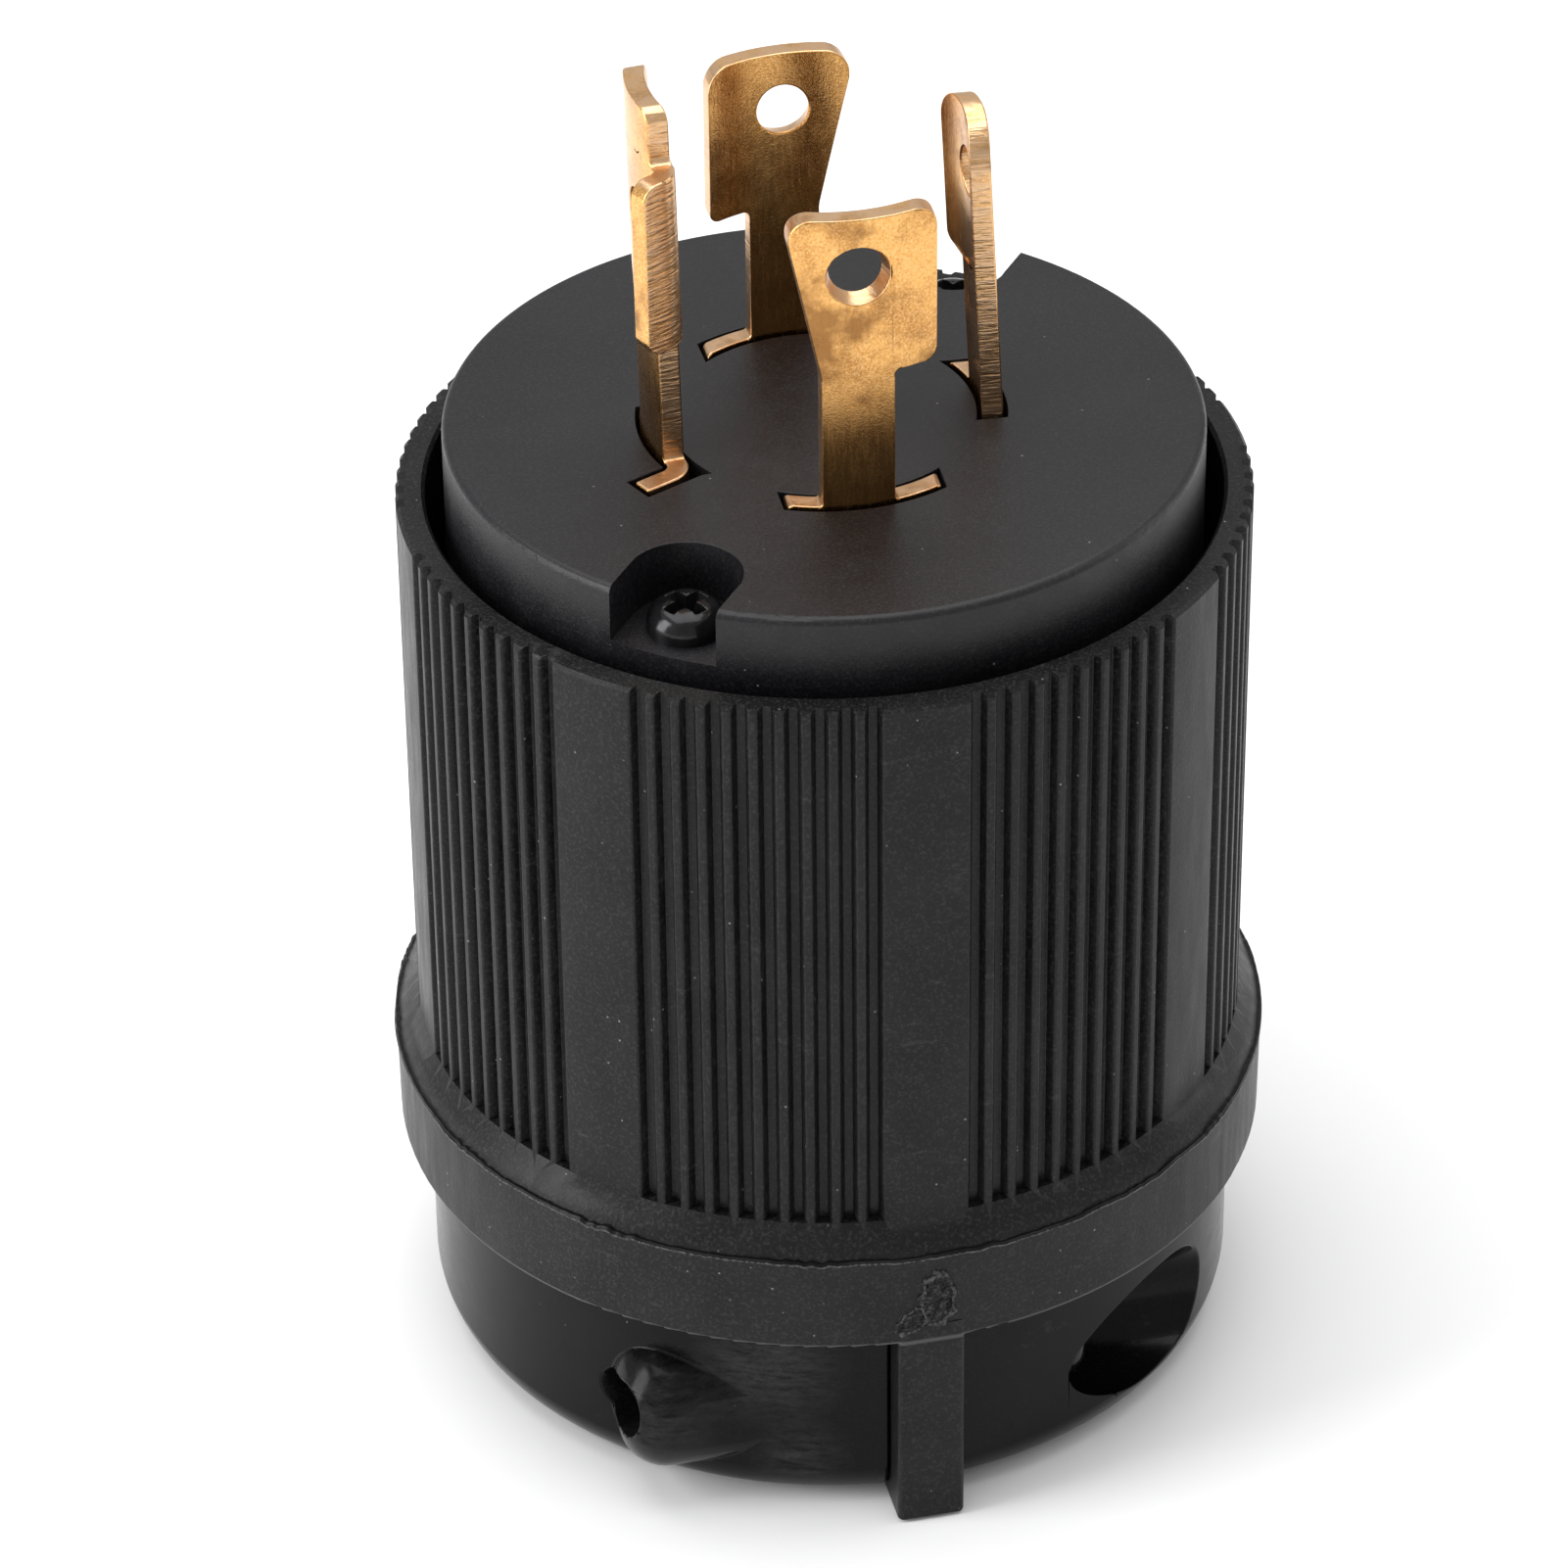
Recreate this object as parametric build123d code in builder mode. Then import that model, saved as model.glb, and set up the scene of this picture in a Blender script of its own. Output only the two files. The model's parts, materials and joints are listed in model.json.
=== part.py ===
from build123d import *
import os
from math import cos, degrees, radians, sin

# Four-pole locking plug with curved twist blades, for a round flexible cord.
# It stands on the flat end of its rear housing with the blades up. The origin is the centre of
# that flat end, +Z runs up the axis, and -Y points to the locating tab. Sizes are millimetres.

os.makedirs("parts", exist_ok=True)

# Outer stack, up the axis from the flat end
rear_exposed = 15.75      # rear housing that shows below the band
band_height = 7.35        # upright wall of the band
shoulder_rise = 2.3       # sloping shoulder between band and grip
grip_length = 41.3        # ribbed grip
core_proud = 5.0          # core standing out of the sleeve
band_z0 = rear_exposed
band_z1 = band_z0 + band_height
grip_z0 = band_z1 + shoulder_rise
grip_z1 = grip_z0 + grip_length
face_z = grip_z1 + core_proud

# Radii, from the core outwards
core_r = 25.7
core_gap = 1.3            # the dark ring between core and sleeve
grip_wall = 2.0           # sleeve's wall, measured at the rib tips
housing_step = 1.5        # the rear housing is this much wider than the sleeve's bore
fit_gap = 0.15            # between sleeve, housing and tab
band_wall = 2.0
sleeve_bore_r = core_r + core_gap
grip_r = sleeve_bore_r + grip_wall
housing_r = sleeve_bore_r + housing_step
band_r = housing_r + fit_gap + band_wall    # at the moulding line

# Sleeve
band_draft = 0.08         # the band narrows by this towards its lower edge
band_edge_r = 0.35        # rounding of the band's lower edge
mouth_chamfer = 0.25
socket_depth = 5.0        # how far the rear housing sits inside the band
panel_count = 8           # smooth panels round the grip
panel_angle = 11.4        # width of one panel, in degrees
grooves_per_bay = 10      # grooves between two panels
groove_depth = 0.7
groove_mouth = 1.3
groove_floor = 0.6
rib_chamfer = 0.14

# Locating tab below the band
tab_width = 4.7
tab_proud = 2.1           # how far it stands out of the rear housing
tab_sink = 1.9            # how far it is let into the rear housing
tab_r = housing_r + tab_proud
tab_inner_r = housing_r - tab_sink
tab_lift = 0.15           # the tab ends this far above the flat end
tab_root = 1.5            # height of the tab inside the band
tab_corner_r = 0.45
tab_edge_r = 0.3

# Fits between pieces
flange_gap = 0.3          # round the core's flange
ledge_gap = 0.2           # between the sleeve's ledge and the housing's rim
jaw_gap = 0.3             # round the clamp jaws
bolt_gap = 0.15           # round a screw in a clear hole
thread_gap = 0.05         # round a screw in its thread

# Core: the moulding that carries the blades
core_length = 24.7
core_flange_height = 3.0
face_edge_r = 0.6
slab_thick = 9.0          # solid front of the core
bay_width = 12.6          # terminal bay behind each blade
retainer_thick = 3.0
core_z0 = face_z - core_length
slab_z0 = face_z - slab_thick
rim_z = core_z0 - retainer_thick

# Blades, bent to a circle about the axis
blade_circle_r = 11.48
neutral_inset = 0.15      # the neutral blade's circle is this much smaller
ground_outset = 0.17      # and the ground blade's this much larger
neutral_circle_r = blade_circle_r - neutral_inset
ground_circle_r = blade_circle_r + ground_outset
blade_thick = 1.45
slot_wall_gap = 0.3
slot_end_gap = 0.25
shank_half = 2.45
tongue_half = 3.9
tongue_length = core_length
flush_rise = 0.1
hook_rise = 9.85          # hook's underside above the face
blade_rise = 21.6         # blade top above the face
taper_rise = 19.7
head_lead = 5.15          # hook side of the head, from the shank's middle
head_tail = 4.45          # tapered side of the head
wing_lead = 5.85
wing_tail = 4.7
blade_hole_r = 2.1
blade_hole_rise = 17.4
tongue_corner_r = 0.5     # corner radii of the stamped outline
wing_corner_r = 0.4
root_corner_r = 0.3
neck_corner_r = 0.8
hook_corner_r = 1.2
head_corner_r = 1.8
tail_corner_r = 1.5
taper_corner_r = 3.0
fold_corner_r = 0.5
lead_corner_r = 1.0
ground_rise = 26.45
ground_tail = 5.0
ground_lean = 0.6         # how far the ground blade's top leans outwards
ground_leg_angle = 19.1   # where the ground blade folds outwards, in degrees from its shank
foot_length = 3.65        # folded foot, out from the blade's circle
lip_setback = 0.7         # the folded lip ends this much short of the foot
foot_reach_r = ground_circle_r + foot_length
lip_reach_r = foot_reach_r - lip_setback
fold_r = 2.2              # outside of the fold
lip_corner_r = 1.2
neutral_head_lead = 4.4
neutral_lead = 5.0
neutral_lean = -1.1
neutral_corner_r = 2.6
live_angles = {"blade_line_x": 268.0, "blade_line_y": 91.0}
neutral_angle = 356.2
ground_angle = 185.75
pillar_r = blade_circle_r - blade_thick / 2 - slot_wall_gap    # core's pillar behind the blades

# Wire terminals, one behind each blade
terminal_rise = 7.0       # terminal screw above the core's lower face
terminal_screw_r = 2.0
terminal_screw_reach = 3.6
terminal_head_r = 3.6
terminal_head_height = 2.4
plate_size = 9.0
plate_thick = 1.5
plate_corner_r = 0.8
plate_gap = 0.25
wire_hole_r = 3.2
wire_inset = 8.2          # from the core's wall in to the wire holes
wire_circle_r = core_r - wire_inset
terminal_z = core_z0 + terminal_rise

# Assembly screws, in open recesses of the face
recess_half = 3.8
recess_depth = 4.1
assembly_circle_r = core_r - recess_half
assembly_angles = {"front": 232.5, "back": 52.5}
assembly_screw_r = 1.5
assembly_head_r = 2.5
assembly_head_height = 1.9
insert_r = 2.4
insert_length = 6.4
insert_bite = 0.9         # the screw stops this far short of the insert's end
boss_r = 3.8

# Rear housing
housing_corner_r = 3.8
housing_wall = 3.0
base_height = 14.0        # solid base that holds the cord clamp
floor_thick = 1.8
entry_r = 9.5             # cord entry
neck_r = sleeve_bore_r - fit_gap
chamber_r = neck_r - housing_wall

# Cord clamp: two jaws drawn together by two screws along X
jaw_opening = 1.6
jaw_depth = 10.9          # from the middle gap to the jaw's back
jaw_half_width = 12.2
ear_depth = 6.3
jaw_height = 10.4
jaw_bore_r = 9.9
jaw_groove_depth = 0.7
jaw_groove_height = 1.3
jaw_groove_count = 3
clamp_inset = 6.9         # from the housing's wall in to a clamp screw's axis
ear_end = 3.0             # how far an ear reaches past its screw
clamp_y = housing_r - clamp_inset
ear_half_span = clamp_y + ear_end
clamp_z = 7.25
clamp_screw_r = 1.75
clamp_head_r = 3.0
clamp_head_height = 2.4
clamp_wall = 3.1          # between an ear's cavity and the pocket outside it
pocket_r = 4.7
nut_flats = 6.0
nut_thick = 2.4
cavity_half_width = jaw_half_width + jaw_gap
cavity_half_depth = jaw_depth + jaw_opening / 2 + jaw_gap
ear_cavity_depth = ear_depth + jaw_opening / 2 + jaw_gap
ear_cavity_half_span = ear_half_span + jaw_gap
pocket_floor_x = ear_cavity_depth + clamp_wall

# Rounded boss at the blind end of each clamp screw
boss_angle = 46.9         # from -X towards the nearer Y side
boss_z = 6.9
side_boss_r = 5.0
boss_edge_r = 2.2
keyhole_angle = 45.6
keyhole_z = 6.1
keyhole_length = 5.6
keyhole_width = 1.65
keyhole_top_r = 1.0
keyhole_lean = 16.3       # degrees off upright
keyhole_depth = 6.0

# Cross recess of every screw head, as shares of the head
cross_length_ratio = 1.15
cross_width_ratio = 0.3
cross_depth_ratio = 0.55
head_round_ratio = 0.6


def plan(angle, z):
    # level plane at height z whose X axis points out at the angle
    a = radians(angle)
    return Plane(origin=(0, 0, z), x_dir=(cos(a), sin(a), 0), z_dir=(0, 0, 1))


def upright(angle, reach=0.0):
    # plane that faces outwards at the angle: X runs round the axis, Y runs up
    a = radians(angle)
    return Plane(origin=(reach * cos(a), reach * sin(a), 0), x_dir=(-sin(a), cos(a), 0),
                 z_dir=(cos(a), sin(a), 0))


def make_screw(seat, shank_r, length, head_r, head_height):
    # pan head screw: the plane is the head's seat, with its normal out of the head
    with BuildPart() as screw:
        with BuildSketch(seat):
            Circle(head_r)
        extrude(amount=head_height)
        fillet(screw.edges().sort_by(Axis(seat.origin, seat.z_dir))[-1], head_height * head_round_ratio)
        with BuildSketch(seat):
            Circle(shank_r)
        extrude(amount=-length)
        with BuildSketch(seat.offset(head_height)):
            Rectangle(head_r * cross_length_ratio, head_r * cross_width_ratio)
            Rectangle(head_r * cross_width_ratio, head_r * cross_length_ratio)
        extrude(amount=-head_height * cross_depth_ratio, mode=Mode.SUBTRACT)
    return screw.part


def blade_outline(lead, tail, base_lead, base_tail):
    # corners of a blade, seen from outside: (round the axis, above the face, corner radius)
    corners = [
        (-tongue_half, -tongue_length, tongue_corner_r), (tongue_half, -tongue_length, tongue_corner_r),
        (tongue_half, -slab_thick, 0), (base_lead, -slab_thick, 0), (base_lead, flush_rise, wing_corner_r),
        (shank_half, flush_rise, root_corner_r), (shank_half, hook_rise, neck_corner_r),
        (lead, hook_rise, hook_corner_r), (lead, blade_rise, head_corner_r)]
    if tail > shank_half:
        corners += [(-tail, blade_rise, tail_corner_r), (-tail, taper_rise, tail_corner_r),
                    (-shank_half, hook_rise, taper_corner_r)]
    else:
        corners += [(-tail, blade_rise, neutral_corner_r)]
    if base_tail > shank_half:
        corners += [(-shank_half, flush_rise, root_corner_r), (-base_tail, flush_rise, wing_corner_r)]
    corners += [(-base_tail, -slab_thick, 0), (-tongue_half, -slab_thick, 0)]
    return corners


def ground_outline():
    reach = foot_reach_r    # wide enough for the folded lip and foot
    return [
        (-tongue_half, -tongue_length, tongue_corner_r), (shank_half, -tongue_length, tongue_corner_r),
        (shank_half, -slab_thick, 0), (reach, -slab_thick, 0), (reach, flush_rise, 0),
        (shank_half, flush_rise, root_corner_r), (shank_half, hook_rise, fold_corner_r),
        (reach, hook_rise, 0), (reach, blade_rise, 0), (shank_half, blade_rise, fold_corner_r),
        (shank_half, ground_rise, lead_corner_r), (-ground_tail, ground_rise, tail_corner_r),
        (-ground_tail, taper_rise, tail_corner_r), (-shank_half, hook_rise, taper_corner_r),
        (-shank_half, flush_rise, root_corner_r), (-wing_tail, flush_rise, wing_corner_r),
        (-wing_tail, -slab_thick, 0), (-tongue_half, -slab_thick, 0)]


def make_blade(angle, circle_r, corners, rise, lean=0.0, leg_angle=0):
    # a sheet bent round the axis and trimmed to its outline; a leg angle folds one side outwards
    outer_r = circle_r + blade_thick / 2
    inner_r = circle_r - blade_thick / 2
    with BuildPart() as blade:
        with BuildSketch(plan(angle + leg_angle, face_z)) as bend:
            Circle(outer_r)
            Circle(inner_r, mode=Mode.SUBTRACT)
            if leg_angle:
                with Locations((0, blade_thick / 2)):
                    Rectangle(4 * outer_r, 2 * outer_r, align=(Align.CENTER, Align.MIN),
                              mode=Mode.SUBTRACT)
                with Locations((circle_r, 0)):
                    Rectangle(foot_reach_r - circle_r, blade_thick, align=(Align.MIN, Align.CENTER))
                fillet(bend.vertices().sort_by_distance((inner_r, blade_thick / 2, 0))[0], fold_r)
                fillet(bend.vertices().sort_by_distance((outer_r, -blade_thick / 2, 0))[0],
                       fold_r - blade_thick)
        extrude(amount=-core_length)
        a = radians(angle)
        top_dir = Vector(lean * cos(a), lean * sin(a), rise)
        extrude(bend.sketch, amount=top_dir.length, dir=top_dir.normalized())
        with BuildSketch(upright(angle)):
            with BuildLine():
                FilletPolyline([(t, face_z + h) for t, h, r in corners],
                               radius=[r for t, h, r in corners], close=True)
            make_face()
        extrude(amount=foot_reach_r + blade_thick, mode=Mode.INTERSECT)
        if leg_angle:
            with BuildSketch(plan(angle + leg_angle, face_z + hook_rise / 2)):
                with Locations((lip_reach_r, 0)):
                    Rectangle(foot_reach_r, foot_reach_r, align=(Align.MIN, Align.CENTER))
            extrude(amount=rise, mode=Mode.SUBTRACT)
            lip_ends = blade.edges().filter_by(
                lambda e: e.center().Z > face_z + hook_rise / 2
                and Vector(e.center().X, e.center().Y, 0).length > lip_reach_r - thread_gap
                and abs(e.length - blade_thick) < thread_gap)
            fillet(lip_ends, lip_corner_r)
        with BuildSketch(upright(angle)):
            with Locations((0, face_z + blade_hole_rise)):
                Circle(blade_hole_r)
            with Locations((0, terminal_z)):
                Circle(terminal_screw_r + thread_gap)
        extrude(amount=foot_reach_r, mode=Mode.SUBTRACT)
    return blade.part


# Line, neutral and ground blades
blade_bases = {}
for name, angle in live_angles.items():
    blade_bases[name] = (angle, blade_circle_r, wing_tail, wing_lead)
    outline = blade_outline(head_lead, head_tail, wing_lead, wing_tail)
    blade = make_blade(angle, blade_circle_r, outline, blade_rise)
    blade.label = name
    export_step(blade, f"parts/{name}.step")

blade_bases["blade_neutral"] = (neutral_angle, neutral_circle_r, shank_half, neutral_lead)
outline = blade_outline(neutral_head_lead, shank_half, neutral_lead, shank_half)
blade_neutral = make_blade(neutral_angle, neutral_circle_r, outline, blade_rise, neutral_lean)
blade_neutral.label = "blade_neutral"
export_step(blade_neutral, "parts/blade_neutral.step")

ground_leg_side = ground_circle_r * sin(radians(ground_leg_angle)) + blade_thick / 2
blade_bases["blade_ground"] = (ground_angle, ground_circle_r, wing_tail, ground_leg_side)
blade_ground = make_blade(ground_angle, ground_circle_r, ground_outline(), ground_rise, ground_lean,
                          ground_leg_angle)
blade_ground.label = "blade_ground"
export_step(blade_ground, "parts/blade_ground.step")

terminal_spots = {"line_x": (live_angles["blade_line_x"], blade_circle_r),
                  "line_y": (live_angles["blade_line_y"], blade_circle_r),
                  "neutral": (neutral_angle, neutral_circle_r), "ground": (ground_angle, ground_circle_r)}
screw_reach = blade_thick + plate_gap + plate_thick + terminal_screw_reach

# Terminal screws and the pressure plates they carry
for name, (angle, circle_r) in terminal_spots.items():
    plate_r = circle_r + blade_thick / 2 + plate_gap
    with BuildPart() as plate:
        with BuildSketch(upright(angle, plate_r)):
            with Locations((0, terminal_z)):
                RectangleRounded(plate_size, plate_size, plate_corner_r)
                Circle(terminal_screw_r + bolt_gap, mode=Mode.SUBTRACT)
        extrude(amount=plate_thick)
    plate.part.label = f"pressure_plate_{name}"
    export_step(plate.part, f"parts/pressure_plate_{name}.step")
    seat = upright(angle, plate_r + plate_thick)
    seat.origin = seat.origin + Vector(0, 0, terminal_z)
    screw = make_screw(seat, terminal_screw_r, screw_reach, terminal_head_r, terminal_head_height)
    screw.label = f"terminal_screw_{name}"
    export_step(screw, f"parts/terminal_screw_{name}.step")


def slot_cutter(angle, circle_r, tail, lead, leg):
    # the opening in the face for one blade's base
    outer_r = circle_r + blade_thick / 2 + slot_wall_gap
    inner_r = circle_r - blade_thick / 2 - slot_wall_gap
    with BuildPart() as cutter:
        with BuildSketch(plan(angle, slab_z0)):
            Circle(outer_r)
            Circle(inner_r, mode=Mode.SUBTRACT)
            with Locations((0, (lead - tail) / 2)):
                Rectangle(2 * core_r, tail + lead + 2 * slot_end_gap, align=(Align.MIN, Align.CENTER),
                          mode=Mode.INTERSECT)
        if leg:
            with BuildSketch(plan(angle + ground_leg_angle, slab_z0)):
                with Locations((inner_r, 0)):
                    Rectangle(foot_reach_r - inner_r + slot_wall_gap, blade_thick + 3 * slot_wall_gap,
                              align=(Align.MIN, Align.CENTER))
        extrude(amount=slab_thick)
    return cutter.part


# Core
with BuildPart() as blade_carrier:
    with BuildSketch(plan(0, core_z0)):
        Circle(core_r)
    extrude(amount=core_length)
    fillet(blade_carrier.edges().sort_by(Axis.Z)[-1], face_edge_r)
    with BuildSketch(plan(0, core_z0)):
        Circle(sleeve_bore_r - flange_gap)
    extrude(amount=core_flange_height)
    for angle, circle_r in terminal_spots.values():
        with BuildSketch(plan(angle, core_z0)):
            Rectangle(2 * core_r, bay_width, align=(Align.MIN, Align.CENTER))
            Circle(pillar_r, mode=Mode.SUBTRACT)
        extrude(amount=core_length - slab_thick, mode=Mode.SUBTRACT)
        with BuildSketch(upright(angle, circle_r - blade_thick / 2 - terminal_screw_reach - bolt_gap)):
            with Locations((0, terminal_z)):
                Circle(terminal_screw_r + bolt_gap)
        extrude(amount=terminal_screw_reach + bolt_gap, mode=Mode.SUBTRACT)
    for name, (angle, circle_r, tail, lead) in blade_bases.items():
        add(slot_cutter(angle, circle_r, tail, lead, name == "blade_ground"), mode=Mode.SUBTRACT)
    for angle in assembly_angles.values():
        with BuildSketch(plan(angle, face_z)):
            with Locations((assembly_circle_r, 0)):
                Circle(recess_half)
                Rectangle(core_r, 2 * recess_half, align=(Align.MIN, Align.CENTER))
        extrude(amount=-recess_depth, mode=Mode.SUBTRACT)
        with BuildSketch(plan(angle, face_z)):
            with Locations((assembly_circle_r, 0)):
                Circle(assembly_screw_r + bolt_gap)
        extrude(amount=-core_length, mode=Mode.SUBTRACT)
blade_carrier.part.label = "blade_carrier"
export_step(blade_carrier.part, "parts/blade_carrier.step")

# Insulating disc that holds the blades in from behind
with BuildPart() as blade_retainer:
    with BuildSketch(plan(0, rim_z)):
        Circle(chamber_r + housing_wall / 2)
    extrude(amount=retainer_thick)
    for angle, circle_r in terminal_spots.values():
        with BuildSketch(plan(angle, rim_z)):
            with Locations((wire_circle_r, 0)):
                Circle(wire_hole_r)
        extrude(amount=retainer_thick, mode=Mode.SUBTRACT)
    for angle in assembly_angles.values():
        with BuildSketch(plan(angle, rim_z)):
            with Locations((assembly_circle_r, 0)):
                Circle(assembly_screw_r + bolt_gap)
        extrude(amount=retainer_thick, mode=Mode.SUBTRACT)
blade_retainer.part.label = "blade_retainer"
export_step(blade_retainer.part, "parts/blade_retainer.step")

# Sleeve, turned about the axis, with grooves cut down its grip
ledge_r = chamber_r + housing_wall / 2 + fit_gap
ledge_z0 = rim_z + ledge_gap
socket_r = housing_r + fit_gap
socket_z1 = band_z0 + socket_depth
band_foot_r = band_r - band_draft
with BuildPart() as ribbed_sleeve:
    with BuildSketch(Plane.XZ):
        with BuildLine():
            FilletPolyline(
                [(socket_r, band_z0), (band_foot_r, band_z0), (band_r, band_z1), (grip_r, grip_z0),
                 (grip_r, grip_z1 - mouth_chamfer), (grip_r - mouth_chamfer, grip_z1),
                 (sleeve_bore_r + mouth_chamfer, grip_z1), (sleeve_bore_r, grip_z1 - mouth_chamfer),
                 (sleeve_bore_r, core_z0), (ledge_r, core_z0), (ledge_r, ledge_z0),
                 (sleeve_bore_r, ledge_z0), (sleeve_bore_r, socket_z1), (socket_r, socket_z1)],
                radius=[0, band_edge_r] + [0] * 12, close=True)
        make_face()
    revolve(axis=Axis.Z)
    bay_angle = 360 / panel_count
    mouth_angle = degrees(groove_mouth / grip_r)
    first_groove = (panel_angle + mouth_angle) / 2
    groove_span = bay_angle - panel_angle - mouth_angle
    with BuildSketch(plan(-90, grip_z0)) as grooves:
        for bay in range(panel_count):
            with PolarLocations(0, grooves_per_bay, start_angle=bay * bay_angle + first_groove,
                                angular_range=groove_span, endpoint=True):
                Polygon((grip_r - groove_depth, -groove_floor / 2),
                        (grip_r - rib_chamfer, -groove_mouth / 2 + rib_chamfer),
                        (grip_r + rib_chamfer, -groove_mouth / 2 - rib_chamfer),
                        (grip_r + rib_chamfer, groove_mouth / 2 + rib_chamfer),
                        (grip_r - rib_chamfer, groove_mouth / 2 - rib_chamfer),
                        (grip_r - groove_depth, groove_floor / 2))
    extrude(amount=grip_length, mode=Mode.SUBTRACT)
    with BuildSketch(plan(-90, tab_lift)) as tab:
        with Locations((tab_inner_r, 0)):
            Rectangle(tab_r - tab_inner_r, tab_width, align=(Align.MIN, Align.CENTER))
        fillet(tab.vertices().group_by(Axis.X)[-1], tab_corner_r)
    tab_height = band_z0 + tab_root - tab_lift
    extrude(amount=tab_height)
    tab_foot = ribbed_sleeve.edges().group_by(Axis.Z)[0]
    fillet(tab_foot, tab_edge_r)
ribbed_sleeve.part.label = "ribbed_sleeve"
export_step(ribbed_sleeve.part, "parts/ribbed_sleeve.step")


def clamp_shape(margin):
    # plan of both jaws together: a wide middle and two narrow ears
    Rectangle(2 * (cavity_half_depth - margin), 2 * (cavity_half_width - margin))
    Rectangle(2 * (ear_cavity_depth - margin), 2 * (ear_cavity_half_span - margin))


def clamp_line(side):
    # plane across a clamp screw's axis: X runs along +Y, the normal along +X
    return Plane(origin=(0, side * clamp_y, clamp_z), x_dir=(0, 1, 0), z_dir=(1, 0, 0))


def side_boss(side):
    # round boss with a soft rim, flush with the wall
    with BuildPart() as post:
        with BuildSketch(plan(0, 0)):
            Circle(housing_r)
        extrude(amount=base_height)
        with BuildSketch(upright(180 - side * boss_angle, housing_r - 1.5 * side_boss_r)):
            with Locations((0, boss_z)):
                Circle(side_boss_r)
        extrude(amount=housing_r, mode=Mode.INTERSECT)
        rim = post.edges().sort_by(lambda e: e.center().X ** 2 + e.center().Y ** 2)[-1]
        fillet(rim, boss_edge_r)
    return post.part


def side_scallop(side):
    # hollow that runs out along the wall beside the boss
    boss_face = upright(180 - side * boss_angle)
    with BuildPart() as scallop:
        with BuildSketch(clamp_line(side).offset(-pocket_floor_x)):
            Circle(pocket_r)
        extrude(amount=-housing_r)
        with BuildSketch(plan(180 - side * boss_angle, 0)):
            Rectangle(2 * housing_r, 2 * housing_r,
                      align=(Align.CENTER, Align.MAX if side < 0 else Align.MIN))
        extrude(amount=base_height, mode=Mode.SUBTRACT)
        with BuildSketch(boss_face):
            with Locations((0, boss_z)):
                Circle(side_boss_r)
        extrude(amount=housing_r - 1.4 * boss_edge_r, mode=Mode.SUBTRACT)
        add(side_boss(side), mode=Mode.SUBTRACT)
    return scallop.part


# Rear housing: neck inside the sleeve, wiring chamber, and a base with the cord clamp
with BuildPart() as rear_housing:
    with BuildSketch(Plane.XZ):
        with BuildLine():
            FilletPolyline(
                [(entry_r, 0), (housing_r, 0), (housing_r, socket_z1), (neck_r, socket_z1),
                 (neck_r, rim_z), (chamber_r, rim_z), (chamber_r, base_height), (entry_r, base_height)],
                radius=[0, housing_corner_r, 0, 0, 0, 0, 0, 0], close=True)
        make_face()
    revolve(axis=Axis.Z)
    for angle in assembly_angles.values():
        with BuildSketch(plan(angle, base_height)):
            with Locations((assembly_circle_r, 0)):
                Circle(boss_r)
            Circle(neck_r, mode=Mode.INTERSECT)
        extrude(amount=rim_z - base_height)
        with BuildSketch(plan(angle, rim_z)):
            with Locations((assembly_circle_r, 0)):
                Circle(insert_r + thread_gap)
        extrude(amount=-insert_length, mode=Mode.SUBTRACT)
    with BuildSketch(plan(0, floor_thick)):
        clamp_shape(0)
    extrude(amount=base_height, mode=Mode.SUBTRACT)
    with BuildSketch(plan(-90, 0)):
        with Locations((tab_inner_r - fit_gap, 0)):
            Rectangle(housing_r, tab_width + 2 * fit_gap, align=(Align.MIN, Align.CENTER))
    extrude(amount=band_z0 + tab_root + fit_gap, mode=Mode.SUBTRACT)
    for side in (-1, 1):
        line = clamp_line(side)
        # pocket for the screw's head, then the screw's own hole and the nut's seat
        with BuildSketch(line.offset(pocket_floor_x)):
            Circle(pocket_r)
        extrude(amount=housing_r, mode=Mode.SUBTRACT)
        with BuildSketch(line):
            Circle(clamp_screw_r + bolt_gap)
        extrude(amount=pocket_floor_x, mode=Mode.SUBTRACT)
        with BuildSketch(line):
            RegularPolygon(nut_flats / 2 + thread_gap, 6, major_radius=False)
        extrude(amount=-(ear_cavity_depth + nut_thick + thread_gap), mode=Mode.SUBTRACT)
        add(side_scallop(side), mode=Mode.SUBTRACT)
        add(side_boss(side))
        with BuildSketch(upright(180 - side * keyhole_angle, housing_r - keyhole_depth)):
            with Locations(Location((0, keyhole_z), 90 - side * keyhole_lean)):
                SlotOverall(keyhole_length, keyhole_width)
                with Locations((keyhole_length / 2 - keyhole_top_r, 0)):
                    Circle(keyhole_top_r)
        extrude(amount=2 * keyhole_depth, mode=Mode.SUBTRACT)
rear_housing.part.label = "rear_housing"
export_step(rear_housing.part, "parts/rear_housing.step")

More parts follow.
